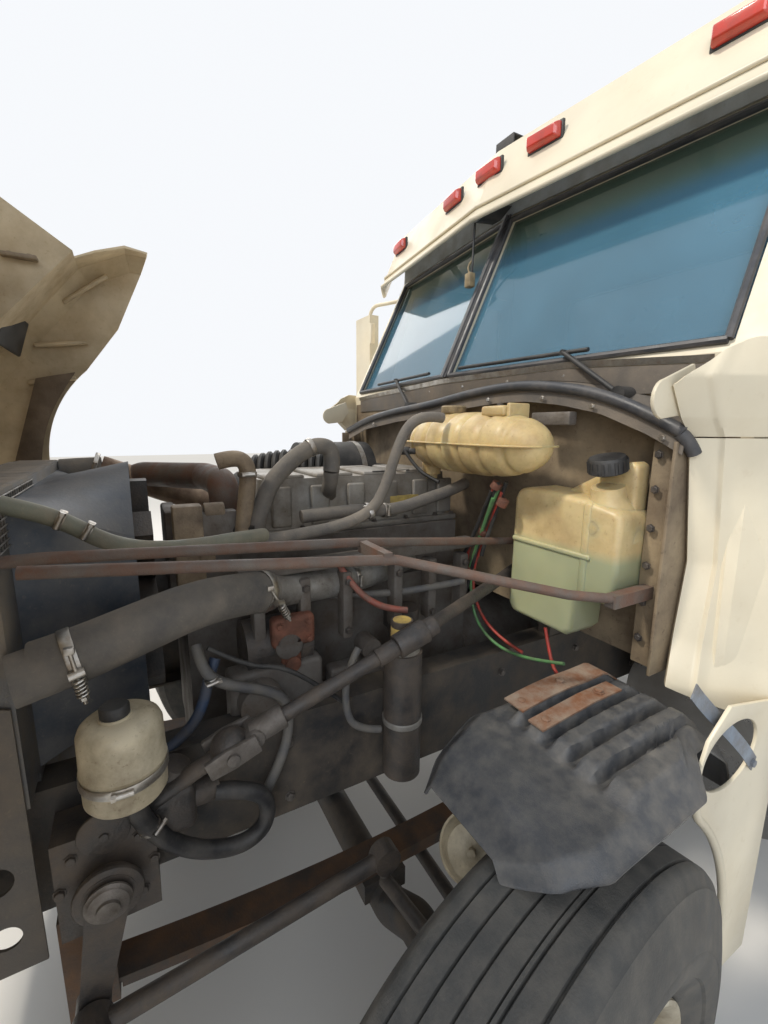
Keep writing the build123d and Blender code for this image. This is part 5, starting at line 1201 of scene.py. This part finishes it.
# Engine bay plumbing: charge hose and pipe, heater and coolant hoses, fuel lines, clamps and wires
hoseSet = {  # radius, paint, sides round, and the route's points
    "chargeHose": (0.05, "dustyHose", 24, (
        (0.505, -0.705, 1.302), (0.503, -0.65, 1.312), (0.478, -0.545, 1.333), (0.436, -0.445, 1.345),
        (0.385, -0.35, 1.335), (0.335, -0.262, 1.312))),
    "chargeInlet": (0.046, "dustyHose", 20, (
        (0.52, -0.738, 1.296), (0.512, -0.7, 1.3), (0.503, -0.655, 1.311))),
    "chargePipe": (0.043, "greyPipe", 20, (
        (0.34, -0.27, 1.314), (0.315, -0.225, 1.302), (0.29, -0.12, 1.29), (0.262, 0.02, 1.284),
        (0.225, 0.14, 1.288), (0.185, 0.235, 1.296))),
    "jHose": (0.0235, "dustyHose", 14, (
        (0.2, -0.03, 1.59), (0.2, -0.022, 1.648), (0.2, -0.06, 1.668), (0.2, -0.11, 1.652),
        (0.2, -0.165, 1.61), (0.21, -0.214, 1.56), (0.22, -0.238, 1.505), (0.225, -0.258, 1.46),
        (0.23, -0.262, 1.42))),
    "jHoseBack": (0.0225, "dustyHose", 12, (
        (0.2, -0.03, 1.592), (0.19, -0.028, 1.56), (0.15, -0.02, 1.53), (0.11, 0.0, 1.51))),
    "sHose": (0.0155, "dustyHose", 12, (
        (0.3, 0.285, 1.745), (0.3, 0.223, 1.752), (0.3, 0.165, 1.722), (0.3, 0.128, 1.65),
        (0.3, 0.098, 1.56), (0.3, 0.055, 1.485), (0.3, -0.045, 1.45), (0.305, -0.18, 1.44),
        (0.31, -0.3, 1.432))),
    "crossHose": (0.0185, "dustyHose", 12, (
        (0.25, -0.14, 1.475), (0.25, -0.01, 1.482), (0.25, 0.09, 1.474), (0.25, 0.173, 1.474),
        (0.245, 0.29, 1.5), (0.24, 0.385, 1.52), (0.2, 0.46, 1.53))),
    "tanPipe": (0.0215, "tanMetal", 12, (
        (0.215, -0.345, 1.628), (0.218, -0.3, 1.64), (0.22, -0.272, 1.622), (0.22, -0.27, 1.58),
        (0.22, -0.281, 1.51), (0.22, -0.291, 1.43), (0.222, -0.295, 1.4))),
    "lightHose": (0.0165, "greenGreyHose", 12, (
        (0.425, -0.738, 1.58), (0.42, -0.7, 1.566), (0.42, -0.648, 1.541), (0.42, -0.585, 1.492),
        (0.42, -0.514, 1.47), (0.415, -0.42, 1.466), (0.4, -0.33, 1.47), (0.36, -0.27, 1.462))),
    "farCharge": (0.045, "dustyHose", 18, (
        (-0.4, -0.735, 1.562), (-0.4, -0.68, 1.566), (-0.4, -0.62, 1.566))),
    "farChargePipe": (0.043, "rustyCopperPipe", 18, (
        (-0.4, -0.625, 1.574), (-0.4, -0.554, 1.547), (-0.4, -0.432, 1.488), (-0.395, -0.33, 1.452),
        (-0.36, -0.27, 1.43))),
    "blueHose": (0.0125, "blueHose", 10, (
        (0.385, -0.4, 1.19), (0.4, -0.42, 1.15), (0.408, -0.432, 1.105), (0.405, -0.455, 1.055),
        (0.412, -0.5, 1.022), (0.43, -0.545, 1.005))),
    "fittedHose": (0.0125, "greyFitted", 10, (
        (0.395, -0.44, 1.235), (0.42, -0.436, 1.205), (0.424, -0.415, 1.16), (0.42, -0.36, 1.125),
        (0.418, -0.298, 1.099), (0.424, -0.245, 1.06), (0.45, -0.252, 0.985), (0.462, -0.29, 0.905),
        (0.47, -0.33, 0.85))),
    "blackLoop": (0.0185, "blackHose", 14, (
        (0.575, -0.585, 1.085), (0.56, -0.58, 1.02), (0.52, -0.56, 0.93), (0.505, -0.52, 0.86),
        (0.5, -0.462, 0.808), (0.5, -0.38, 0.782), (0.502, -0.325, 0.815), (0.502, -0.322, 0.885),
        (0.5, -0.372, 0.925), (0.49, -0.43, 0.935))),
    "shortLine": (0.012, "softBlack", 10, (
        (-0.05, -0.42, 1.425), (0.06, -0.4, 1.428), (0.18, -0.34, 1.44), (0.24, -0.26, 1.455))),
    "redHose": (0.009, "redHose", 8, (
        (0.3, -0.06, 1.355), (0.345, -0.045, 1.31), (0.385, -0.01, 1.262), (0.415, 0.04, 1.235),
        (0.432, 0.09, 1.228))),
    "sideHose": (0.0095, "greyFitted", 8, (
        (0.47, -0.075, 1.175), (0.478, -0.11, 1.13), (0.478, -0.118, 1.03), (0.48, -0.09, 0.96),
        (0.484, -0.02, 0.94))),
    "backHose": (0.011, "greyFitted", 8, (
        (0.25, -0.1, 1.245), (0.3, 0.05, 1.235), (0.34, 0.2, 1.24), (0.36, 0.34, 1.25))),
}
for name, (radius, paint, around, points) in hoseSet.items():
    dressed(tube(places(points), radius, max(2, around // 4), 10), name, paint, angle=60)
foldSteps = ((-0.011, 0.062), (-0.004, 0.070), (0.004, 0.070), (0.011, 0.062))
bellows = []
for t in [k / 10 for k in range(11)]:
    place = at(-0.30 + 0.12 * t, -0.125 + 0.235 * t, 1.545 + 0.020 * math.sin(t * 3.1))
    bellows.append(turned(place, (0.12, 0.235, 0), foldSteps, 32))
dressed(joined(bellows), "intake_bellows", "softBlack")
cleanerSteps = ((-0.012, 0.151), (-0.012, 0.1535), (0.012, 0.1535), (0.012, 0.151), (-0.012, 0.151))
cleanerBands = [turned(at(-0.560, y, 1.500), (0, 1, 0), cleanerSteps, 48, ring=True) for y in (0.18, 0.39)]
dressed(joined(cleanerBands), "cleaner_bands", "bandSteel")


def tBolt(place, axis, radius, down):  # wide band with a bolt, nut and coil spring
    axis, place, down = Vector(axis).normalized(), Vector(place), Vector(down).normalized()
    band = hoseBand(place, axis, radius, 0.019, lug=False)
    middle = place + (Vector((1, 0, 0)) - axis * axis.x).normalized() * (radius + 0.008)
    hingeHalf = Vector((0.006, 0.008, 0.006))
    hinge = block(middle - down * 0.035 - hingeHalf, middle - down * 0.035 + hingeHalf, 0.002)
    trunnion = rod(middle - axis * 0.012 + down * 0.010, middle + axis * 0.012 + down * 0.010, 0.008, 14)
    bolt = rod(middle - down * 0.035, middle + down * 0.066, 0.0035, 10)
    nut = rod(middle + down * 0.052, middle + down * 0.058, 0.0075, 6)
    spring = coilSpring(middle + down * 0.018, middle + down * 0.051, 0.0085, 0.0022, 5)
    return joined([band, hinge, trunnion, bolt, nut, spring])


bandsTee = joined([tBolt(at(0.502, -0.652, 1.312), (-0.10, 0.62, 0.12), 0.0505, (0, 0.15, -1)),
                   tBolt(at(0.345, -0.280, 1.317), (-0.45, 0.80, -0.25), 0.0505, (0, 0.45, -0.9))])
dressed(bandsTee, "t_bolt_clamps", "bandSteel")
bandSet = (((0.200, -0.090, 1.660), (0, -1, -0.4), 0.0242), ((0.300, 0.045, 1.478), (0, -1, -0.25), 0.016),
           ((0.250, 0.060, 1.478), (0, 1, 0), 0.0192), ((0.250, 0.120, 1.473), (0, 1, 0), 0.0192),
           ((0.420, -0.655, 1.544), (0, 1, -0.5), 0.0172), ((0.420, -0.615, 1.520), (0, 1, -0.6), 0.0172),
           ((0.220, -0.272, 1.595), (0, 0, 1), 0.0222), ((-0.400, -0.640, 1.578), (0, 1, -0.3), 0.0475),
           ((0.266, 0.000, 1.285), (-0.2, 1, 0), 0.0437), ((0.424, -0.415, 1.160), (0, 0.2, -1), 0.0132),
           ((0.520, -0.560, 0.935), (-0.2, 0.2, -1), 0.0192))
dressed(joined([hoseBand(at(*p), d, r) for p, d, r in bandSet]), "hose_bands", "bandSteel")
wireSet = {
    "redWire": (
        ((0.455, 0.36, 1.555), (0.415, 0.37, 1.5), (0.345, 0.39, 1.405), (0.3, 0.4, 1.315),
         (0.29, 0.4, 1.22)),
        ((0.475, 0.37, 1.54), (0.435, 0.38, 1.47), (0.375, 0.4, 1.37), (0.33, 0.4, 1.27),
         (0.335, 0.41, 1.16), (0.43, 0.41, 1.085), (0.55, 0.41, 1.08)),
        ((0.6, 0.44, 1.17), (0.62, 0.44, 1.1), (0.66, 0.43, 1.05), (0.74, 0.43, 1.03))),
    "greenWire": (
        ((0.465, 0.365, 1.545), (0.42, 0.37, 1.47), (0.335, 0.39, 1.3), (0.325, 0.4, 1.18),
         (0.365, 0.4, 1.095), (0.46, 0.4, 1.06), (0.58, 0.4, 1.075), (0.7, 0.4, 1.12)),
        ((0.45, 0.36, 1.52), (0.385, 0.38, 1.4), (0.315, 0.39, 1.25), (0.3, 0.39, 1.15))),
    "softBlack": (
        ((0.47, 0.36, 1.565), (0.4, 0.38, 1.44), (0.35, 0.39, 1.33), (0.32, 0.39, 1.2), (0.28, 0.38, 1.1)),
        ((0.445, 0.36, 1.54), (0.37, 0.38, 1.43), (0.31, 0.39, 1.33), (0.26, 0.38, 1.25)),
        ((0.115, 0.27, 1.64), (0.15, 0.29, 1.59), (0.19, 0.31, 1.56), (0.23, 0.33, 1.545)),
        ((0.49, 0.37, 1.57), (0.455, 0.38, 1.5), (0.41, 0.39, 1.42), (0.38, 0.39, 1.33)),
        ((0.43, -0.42, 1.24), (0.44, -0.34, 1.18), (0.44, -0.26, 1.16), (0.46, -0.18, 1.1),
         (0.46, -0.1, 1.02))),
}
for paint, runs in wireSet.items():
    thick = 0.0062 if paint == "softBlack" else 0.0048
    wires = joined([tube(places(points), thick, 2, 8) for points in runs])
    dressed(wires, "wires_" + paint, paint, angle=60)
tieEnds = (
    ((0.452, 0.362, 1.548), (0.462, 0.366, 1.566)), ((0.470, 0.372, 1.500), (0.480, 0.376, 1.520)),
    ((0.382, 0.388, 1.398), (0.392, 0.388, 1.414)), ((0.325, 0.396, 1.262), (0.330, 0.396, 1.280)))
ties = joined([rod(at(*a), at(*b), 0.016, 10, 0.002) for a, b in tieEnds])
dressed(ties, "wire_ties", "rustRed")
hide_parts("engine_hoses")
print("plumbing built")

# Valve cover: raised pads, ribs, bolts and two blank plates
coverBoltYs = (-0.22, -0.10, 0.02, 0.14, 0.26, 0.38, 0.45)
engineRibYs = (-0.30, -0.18, -0.06, 0.10, 0.22, 0.34)
topPadYs = (-0.205, -0.045, 0.115, 0.275)
sidePadYs = (-0.19, -0.07, 0.05, 0.17, 0.29, 0.39)
pads = [block(at(-0.135, y, 1.560), at(0.115, y + 0.125, 1.576), 0.008, 3) for y in topPadYs]
pads += [block(at(0.126, y, 1.425), at(0.142, y + 0.060, 1.545), 0.007, 3) for y in sidePadYs]
flangeStrip = block(at(-0.172, -0.245, 1.400), at(0.152, 0.465, 1.418), 0.004, 2)
dressed(joined(pads + [flangeStrip]), "valve_cover_pads", "coverAlloy")
spots = [at(x, y, 1.418) for x in (0.144, -0.164) for y in coverBoltYs]
dressed(boltHeads(spots, (0, 0, 1), 0.008, 0.008), "valve_cover_bolts", "greasyCast")
dressed(block(at(0.1352, 0.200, 1.465), at(0.1435, 0.310, 1.495), 0.001), "cover_plate_pale", "yellowBand")
dressed(block(at(0.110, 0.150, 1.5755), at(0.116, 0.290, 1.5775), 0.0005), "cover_plate_dark", "softBlack")

# Engine's left side: ribs, fuel pump blocks, brackets and bolts
engineBits = [block(at(0.300, y, 1.140), at(0.345, y + 0.030, 1.330), 0.006, 2) for y in engineRibYs]
engineBits += [block(at(0.290, -0.33, 1.345), at(0.335, 0.40, 1.375), 0.005, 2),
               block(at(0.300, -0.37, 0.930), at(0.370, -0.13, 1.120), 0.012, 3),
               block(at(0.300, -0.10, 0.960), at(0.350, 0.12, 1.060), 0.010, 3),
               rod(at(0.30, -0.30, 1.05), at(0.41, -0.30, 1.05), 0.055, 28, 0.006),
               rod(at(0.30, -0.22, 1.17), at(0.372, -0.22, 1.17), 0.036, 24, 0.004),
               rod(at(0.30, 0.02, 1.10), at(0.365, 0.02, 1.10), 0.030, 24, 0.004),
               block(at(-0.02, -0.47, 1.20), at(0.16, -0.435, 1.50), 0.008, 2),
               block(at(0.17, -0.44, 1.30), at(0.21, -0.30, 1.50), 0.006, 2)]
dressed(joined(engineBits), "engine_bosses", "engineGrey")
spots = [at(0.346, y + 0.015, z) for y in engineRibYs for z in (1.165, 1.305)]
dressed(boltHeads(spots, (1, 0, 0), 0.009, 0.008), "engine_bolts", "greasyCast")
redBolts = places(((0.3725, -0.245, 1.228), (0.3725, -0.168, 1.228), (0.3725, -0.168, 1.182)))
redBits = joined([block(at(0.330, -0.262, 1.165), at(0.372, -0.150, 1.245), 0.012, 3),
                  block(at(0.335, -0.238, 1.095), at(0.366, -0.185, 1.180), 0.014, 3),
                  rod(at(0.360, -0.212, 1.120), at(0.378, -0.212, 1.120), 0.020, 24, 0.003),
                  boltHeads(redBolts, (1, 0, 0), 0.008, 0.007)])
dressed(redBits, "red_bracket", "rustRed")
tanBits = joined([block(at(0.165, -0.455, 1.30), at(0.215, -0.385, 1.52), 0.006, 2),
                  block(at(0.16, -0.40, 1.36), at(0.22, -0.36, 1.43), 0.006, 2),
                  rod(at(0.19, -0.38, 1.50), at(0.19, -0.33, 1.50), 0.022, 18, 0.003)])
dressed(tanBits, "tan_housing", "tanMetal")
filterSet = {
    "dome": ((1.128, 0.046), (1.138, 0.047), (1.150, 0.044), (1.158, 0.030), (1.160, 0.012)),
    "bead": ((0.948, 0.0515), (0.950, 0.0535), (0.962, 0.0535), (0.964, 0.0515)),
    "neck": ((1.160, 0.026), (1.163, 0.0295), (1.205, 0.0295), (1.212, 0.026), (1.226, 0.024)),
}
filterTop = joined([turned(at(0.487, 0.045, 0), (0, 0, 1), filterSet[key], 36) for key in ("dome", "bead")])
dressed(filterTop, "filter_canister_top", "greyPipe")
yellowNeck = turned(at(0.472, 0.050, 0), (0, 0, 1), filterSet["neck"], 28)
dressed(yellowNeck, "filter_neck", "yellowBand")
print("engine dressed")

# Steering: forked joints and coupling on the shaft, the gear's cover and bolts
shaftSet = {"low": (0.530, -0.400, 1.060), "mid": (0.550, 0.040, 1.215), "high": (0.440, 0.400, 1.262)}
low, mid = Vector(at(*shaftSet["low"])), Vector(at(*shaftSet["mid"]))
run = (mid - low).normalized()
fork = []
sideways = run.cross(Vector((0, 0, 1))).normalized()
upward = sideways.cross(run).normalized()
armOutline = ((0.020, -0.052), (-0.020, -0.052), (-0.024, -0.005), (-0.020, 0.055), (0.020, 0.055),
              (0.024, -0.005))
for k in (1, -1):
    corners = [low + upward * up + sideways * k * 0.030 + run * on for up, on in armOutline]
    fork.append(plate(corners, sideways * k * 0.013, 0.004))
fork.append(rod(low - sideways * 0.050, low + sideways * 0.050, 0.013, 18, 0.002))
fork.append(rod(low + run * 0.050 - sideways * 0.030, low + run * 0.050 + sideways * 0.030, 0.020, 18, 0.003))
fork.append(rod(low + run * 0.045, low + run * 0.120, 0.026, 24, 0.003))
dressed(joined(fork), "shaft_fork", "wornCast")
collar = [rod(mid - run * 0.055, mid + run * 0.030, 0.030, 26, 0.004),
          rod(mid + run * 0.030, mid + run * 0.060, 0.024, 26, 0.003),
          rod(mid - run * 0.110, mid - run * 0.055, 0.022, 24, 0.002)]
dressed(joined(collar), "shaft_collar", "greasyCast")
gear = [rod(at(0.545, -0.635, 0.850), at(0.560, -0.635, 0.850), 0.060, 32, 0.006),
        rod(at(0.520, -0.635, 0.960), at(0.528, -0.635, 0.960), 0.045, 28, 0.005),
        block(at(0.440, -0.565, 0.880), at(0.510, -0.470, 0.985), 0.016, 3),
        rod(at(0.480, -0.520, 0.98), at(0.487, -0.500, 1.03), 0.030, 24, 0.004),
        rod(at(0.475, -0.545, 0.935), at(0.475, -0.420, 0.935), 0.026, 20, 0.004)]
dressed(joined(gear), "gear_castings", "greasyCast")
turns = [math.tau * k / 8 for k in range(8)]
gearBolts = [at(0.5235, -0.635 + 0.078 * math.cos(a), 0.865 + 0.088 * math.sin(a)) for a in turns]
dressed(boltHeads(gearBolts, (1, 0, 0), 0.009, 0.007), "gear_bolts", "greasyCast")
nutSteps = ((0, 0.040), (0.004, 0.040), (0.006, 0.036), (0.010, 0.034), (0.016, 0.020), (0.022, 0.019))
pitmanNut = turned(at(0.5675, -0.635, 0.850), (1, 0, 0), nutSteps, 36)
dressed(pitmanNut, "pitman_nut", "wornCast", "pitman_arm")

# Brake chambers behind the front wheels: cream bowls with a band, a stem and a bracket
bowlSteps = ((-0.060, 0.030), (-0.055, 0.060), (-0.020, 0.078), (-0.006, 0.082), (-0.004, 0.088),
             (0.004, 0.088), (0.006, 0.082), (0.020, 0.078), (0.052, 0.062), (0.058, 0.030))
for side, sideName in bothSides:
    middle = Vector(at(side * 0.655, 0.165, 0.640))
    axis = Vector((side * 0.55, -0.55, 0.62)).normalized()
    bowl = turned(middle, axis, bowlSteps, 40)
    stem = rod(middle + axis * 0.055, middle + axis * 0.110, 0.010, 12)
    foot = middle - axis * 0.09
    arm = block(foot - Vector((0.02, 0.02, 0.02)), foot + Vector((0.02, 0.02, 0.05)), 0.004)
    dressed(joined([bowl, stem, arm]), "brake_chamber_" + sideName, "creamReservoir", "knuckle_" + sideName)
print("steering and brakes dressed")

# Hood's inside: folded ribs, a dark vent, a bracket and a splash flap
ribs = []
for side in (1, -1):
    for a, b in (((side * 1.135, -0.735, 2.250), (side * 1.140, -0.560, 2.385)),
                 ((side * 1.150, -0.860, 2.060), (side * 1.150, -0.660, 2.090)),
                 ((side * 1.155, -0.900, 1.900), (side * 1.155, -0.720, 1.930))):
        ribs.append(rod(at(*a), at(*b), 0.010, 12, 0.003))
dressed(joined(ribs), "hood_ribs", "hoodInside", "hood")
ventCorners = ((-0.86, -0.905, 2.160), (-1.09, -0.870, 2.135), (-1.10, -0.915, 2.000), (-0.87, -0.945, 2.020))
vent = plate(places(ventCorners), (0, 0.010, 0.002), 0.006)
dressed(vent, "hood_vent", "softBlack", "hood")
bracketBolts = places(((-0.83, -0.86, 2.3345), (-0.83, -0.80, 2.3345), (-0.87, -0.83, 2.3345)))
bracket = joined([block(at(-0.90, -0.885, 2.318), at(-0.80, -0.775, 2.334), 0.005, 2),
                  rod(at(-0.89, -0.80, 2.330), at(-0.89, -0.72, 2.330), 0.012, 14, 0.002),
                  boltHeads(bracketBolts, (0, 0, 1), 0.009, 0.006)])
dressed(bracket, "hood_bracket", "tanMetal", "hood")
flapSet = {"outerFoot": (-0.999, 1.480), "innerFoot": (-0.885, 1.529), "outerTop": (-0.865, 1.917),
           "innerTop": (-0.718, 1.952)}


def flapSpot(u, w):  # bows away from the tyre, so that it clears it when the hood is shut
    s = flapSet
    spot = [(s["outerFoot"][k] * (1 - w) + s["outerTop"][k] * w) * (1 - u)
            + (s["innerFoot"][k] * (1 - w) + s["innerTop"][k] * w) * u for k in (0, 1)]
    return at(-1.118 + 0.012 * math.sin(u * 3), spot[0] - 0.035 * math.sin(math.pi * w) * u, spot[1])


flap = skin(10, 14, flapSpot, 0.005)
dressed(flap, "hood_flap", "flapRubber", "hood")
print("hood dressed")

# Doors and cab's back: handles, hinge leaves, ribs and rivets
for side, sideName in bothSides:
    inner, outer = side * 1.058, side * 1.078
    grip = [rod(at(inner, y, 1.735), at(outer, y, 1.735), 0.011, 16, 0.002) for y in (1.560, 1.680)]
    bow = ((1.076, 1.545, 1.735), (1.082, 1.600, 1.738), (1.082, 1.650, 1.738), (1.076, 1.695, 1.735))
    grip.append(tube(places([(side * x, y, z) for x, y, z in bow]), 0.010, 3))
    grip.append(rod(at(side * 1.056, 1.600, 1.665), at(side * 1.062, 1.600, 1.665), 0.014, 20, 0.002))
    dressed(joined(grip), "door_handle_" + sideName, "dullChrome", "door_" + sideName)
cabTrim = []
for side in (1, -1):
    x = side * 1.052
    for z in (1.30, 1.75, 2.20):
        cabTrim.append(block(at(x - 0.010, 0.742, z), at(x + 0.010, 0.768, z + 0.110), 0.004, 2))
dressed(joined(cabTrim), "door_hinges", "agedCabPaint")
backRibXs = (-0.80, -0.48, -0.16, 0.16, 0.48, 0.80)
backRibs = [block(at(x - 0.018, 1.826, 1.22), at(x + 0.018, 1.834, 1.84), 0.004, 2) for x in backRibXs]
backRibs.append(block(at(-1.0, 1.826, 1.165), at(1.0, 1.836, 1.195), 0.004, 2))
dressed(joined(backRibs), "cab_back_ribs", "agedCabPaint")
rivets = [at(x / 100, 1.8345, 1.180) for x in range(-96, 97, 12)]
dressed(boltHeads(rivets, (0, 1, 0), 0.006, 0.003, 8), "cab_back_rivets", "bandSteel")

# Seats: padded cushions, backs and headrests with sewn lines, on dark pedestals
seatSet = {"x": 0.530, "wide": 0.48, "sewnAt": 0.42, "sewnWide": 0.08}


def pad(low, high, plump):
    obj = block(low, high, min(Vector(high) - Vector(low)) * 0.42, 4)
    m = obj.modifiers.new("round", "SUBSURF")
    m.levels = 1
    m.render_levels = 1
    bake(obj)
    middle = (Vector(low) + Vector(high)) / 2
    half = (Vector(high) - Vector(low)) / 2
    for v in obj.data.vertices:  # the cover sinks along its sewn lines
        d = v.co - middle
        line = abs(abs(d.x / half.x) - seatSet["sewnAt"]) / seatSet["sewnWide"]
        if line < 1:
            v.co -= d.normalized() * plump * (1 - line)
    return obj


for side, sideName in bothSides:
    x0 = seatSet["x"] * side - seatSet["wide"] / 2
    x1 = seatSet["x"] * side + seatSet["wide"] / 2
    cushion = pad(at(x0, 1.250, 1.600), at(x1, 1.700, 1.725), 0.010)
    back = pad(at(x0 + 0.01, 1.590, 1.720), at(x1 - 0.01, 1.705, 2.120), 0.010)
    head = pad(at(x0 + 0.10, 1.610, 2.105), at(x1 - 0.10, 1.700, 2.178), 0.004)
    for piece, name in ((cushion, "seat_cushion_"), (back, "seat_back_"), (head, "seat_head_")):
        dressed(piece, name + sideName, "seatCloth", "chassis", 60)
    weltPath = places([(x0 + 0.02, 1.262, 1.655), (x0 + 0.24, 1.252, 1.658), (x1 - 0.02, 1.262, 1.655)])
    welt = tube(weltPath, 0.006, 2)
    base = joined([block(at(x0 + 0.05, 1.300, 1.432), at(x1 - 0.05, 1.640, 1.560), 0.012, 2),
                   block(at(x0 + 0.01, 1.270, 1.556), at(x1 - 0.01, 1.690, 1.602), 0.010, 2),
                   rod(at(x0 - 0.01, 1.60, 1.600), at(x0 + 0.02, 1.60, 1.600), 0.022, 18, 0.003), welt])
    dressed(base, "seat_base_" + sideName, "dashPlastic")
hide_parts("seats")
print("cab dressed")

# Tank caps, step bars, battery lid tread, stack ring and frame bolts
fuelCapSteps = ((-0.010, 0.052), (0.012, 0.052), (0.014, 0.058), (0.034, 0.058), (0.038, 0.052))
ringSteps = ((0, 0.0655), (0.004, 0.069), (0.018, 0.069), (0.022, 0.0655), (0, 0.0655))
fittings = []
for side in (1, -1):
    fittings.append(turned(at(side * 0.900, 1.330, 1.045), (side * 0.25, 0, 1), fuelCapSteps, 32))
    x = side * 1.110
    for y in (1.35, 1.55, 1.75, 1.95, 2.15):
        fittings.append(block(at(x - 0.035, y, 0.446), at(x + 0.035, y + 0.012, 0.452), 0.002, 1))
dressed(joined(fittings), "tank_fittings", "bandSteel")
lid = [block(at(0.745, 2.500, 0.990), at(0.975, 3.060, 0.996), 0.003, 1)]
for k in range(100):  # raised tread bars in staggered rows
    x, y = 0.780 + 0.036 * (k % 5) + 0.012 * (k // 5 % 2), 2.54 + 0.024 * (k // 5)
    lid.append(rod(at(x, y, 0.997), at(x + 0.018, y + 0.012, 0.997), 0.0022, 6))
dressed(joined(lid), "battery_lid", "tankAlloy")
stackTop = turned(at(-0.770, 2.070, 3.255), (0, 0, 1), ringSteps, 32, ring=True)
dressed(stackTop, "stack_ring", "dullChrome")
for side, sideName in bothSides:
    railBolts = [at(side * 0.4325, y / 100, z) for y in range(-60, 560, 35) for z in (0.800, 0.950)]
    dressed(boltHeads(railBolts, (side, 0, 0), 0.0105, 0.009), "rail_bolts_" + sideName, "wornCast")

# Cooling pack: mesh screen, ribbed top tank and a side plate with round holes
mesh = [rod(at(x / 100, -0.7385, 1.500), at(x / 100, -0.7385, 1.592), 0.0016, 6) for x in range(10, 49, 2)]
mesh += [rod(at(0.10, -0.7370, 1.500 + 0.013 * k), at(0.49, -0.7370, 1.500 + 0.013 * k), 0.0016, 6)
         for k in range(8)]
dressed(joined(mesh), "screen_mesh", "greyPipe")
coolerTop = [block(at(-0.49, -0.862, 1.585), at(0.49, -0.748, 1.6005), 0.010, 3)]
coolerTop += [block(at(x / 100, -0.866, 1.560), at(x / 100 + 0.012, -0.744, 1.6005), 0.003, 2)
              for x in range(-46, 47, 8)]
dressed(joined(coolerTop), "cooler_top", "cowlGrey")
plateOutline = ((-0.865, 0.720), (-0.745, 0.720), (-0.745, 1.240), (-0.800, 1.260), (-0.865, 1.200))
sidePlate = plate([at(0.502, y, z) for y, z in plateOutline], (0.006, 0, 0), 0.002)
for y, z, r in ((-0.805, 0.92, 0.030), (-0.805, 1.10, 0.018), (-0.80, 0.80, 0.024)):
    bored(sidePlate, at(0.505, y, z), r, r, 28, 0.1)
dressed(sidePlate, "cooler_side_plate", "cowlGrey")
print("details ready")

# Floor
bpy.ops.mesh.primitive_plane_add(size=60, location=(0, 0, 0))
floor = bpy.context.object
floor.name = "floor"
floorPaint = bpy.data.materials.new("paleFloor")
floorPaint.use_nodes = True
floorShader = floorPaint.node_tree.nodes["Principled BSDF"]
floorShader.inputs["Base Color"].default_value = (0.72, 0.70, 0.66, 1)
floorShader.inputs["Roughness"].default_value = 0.9
floor.data.materials.append(floorPaint)
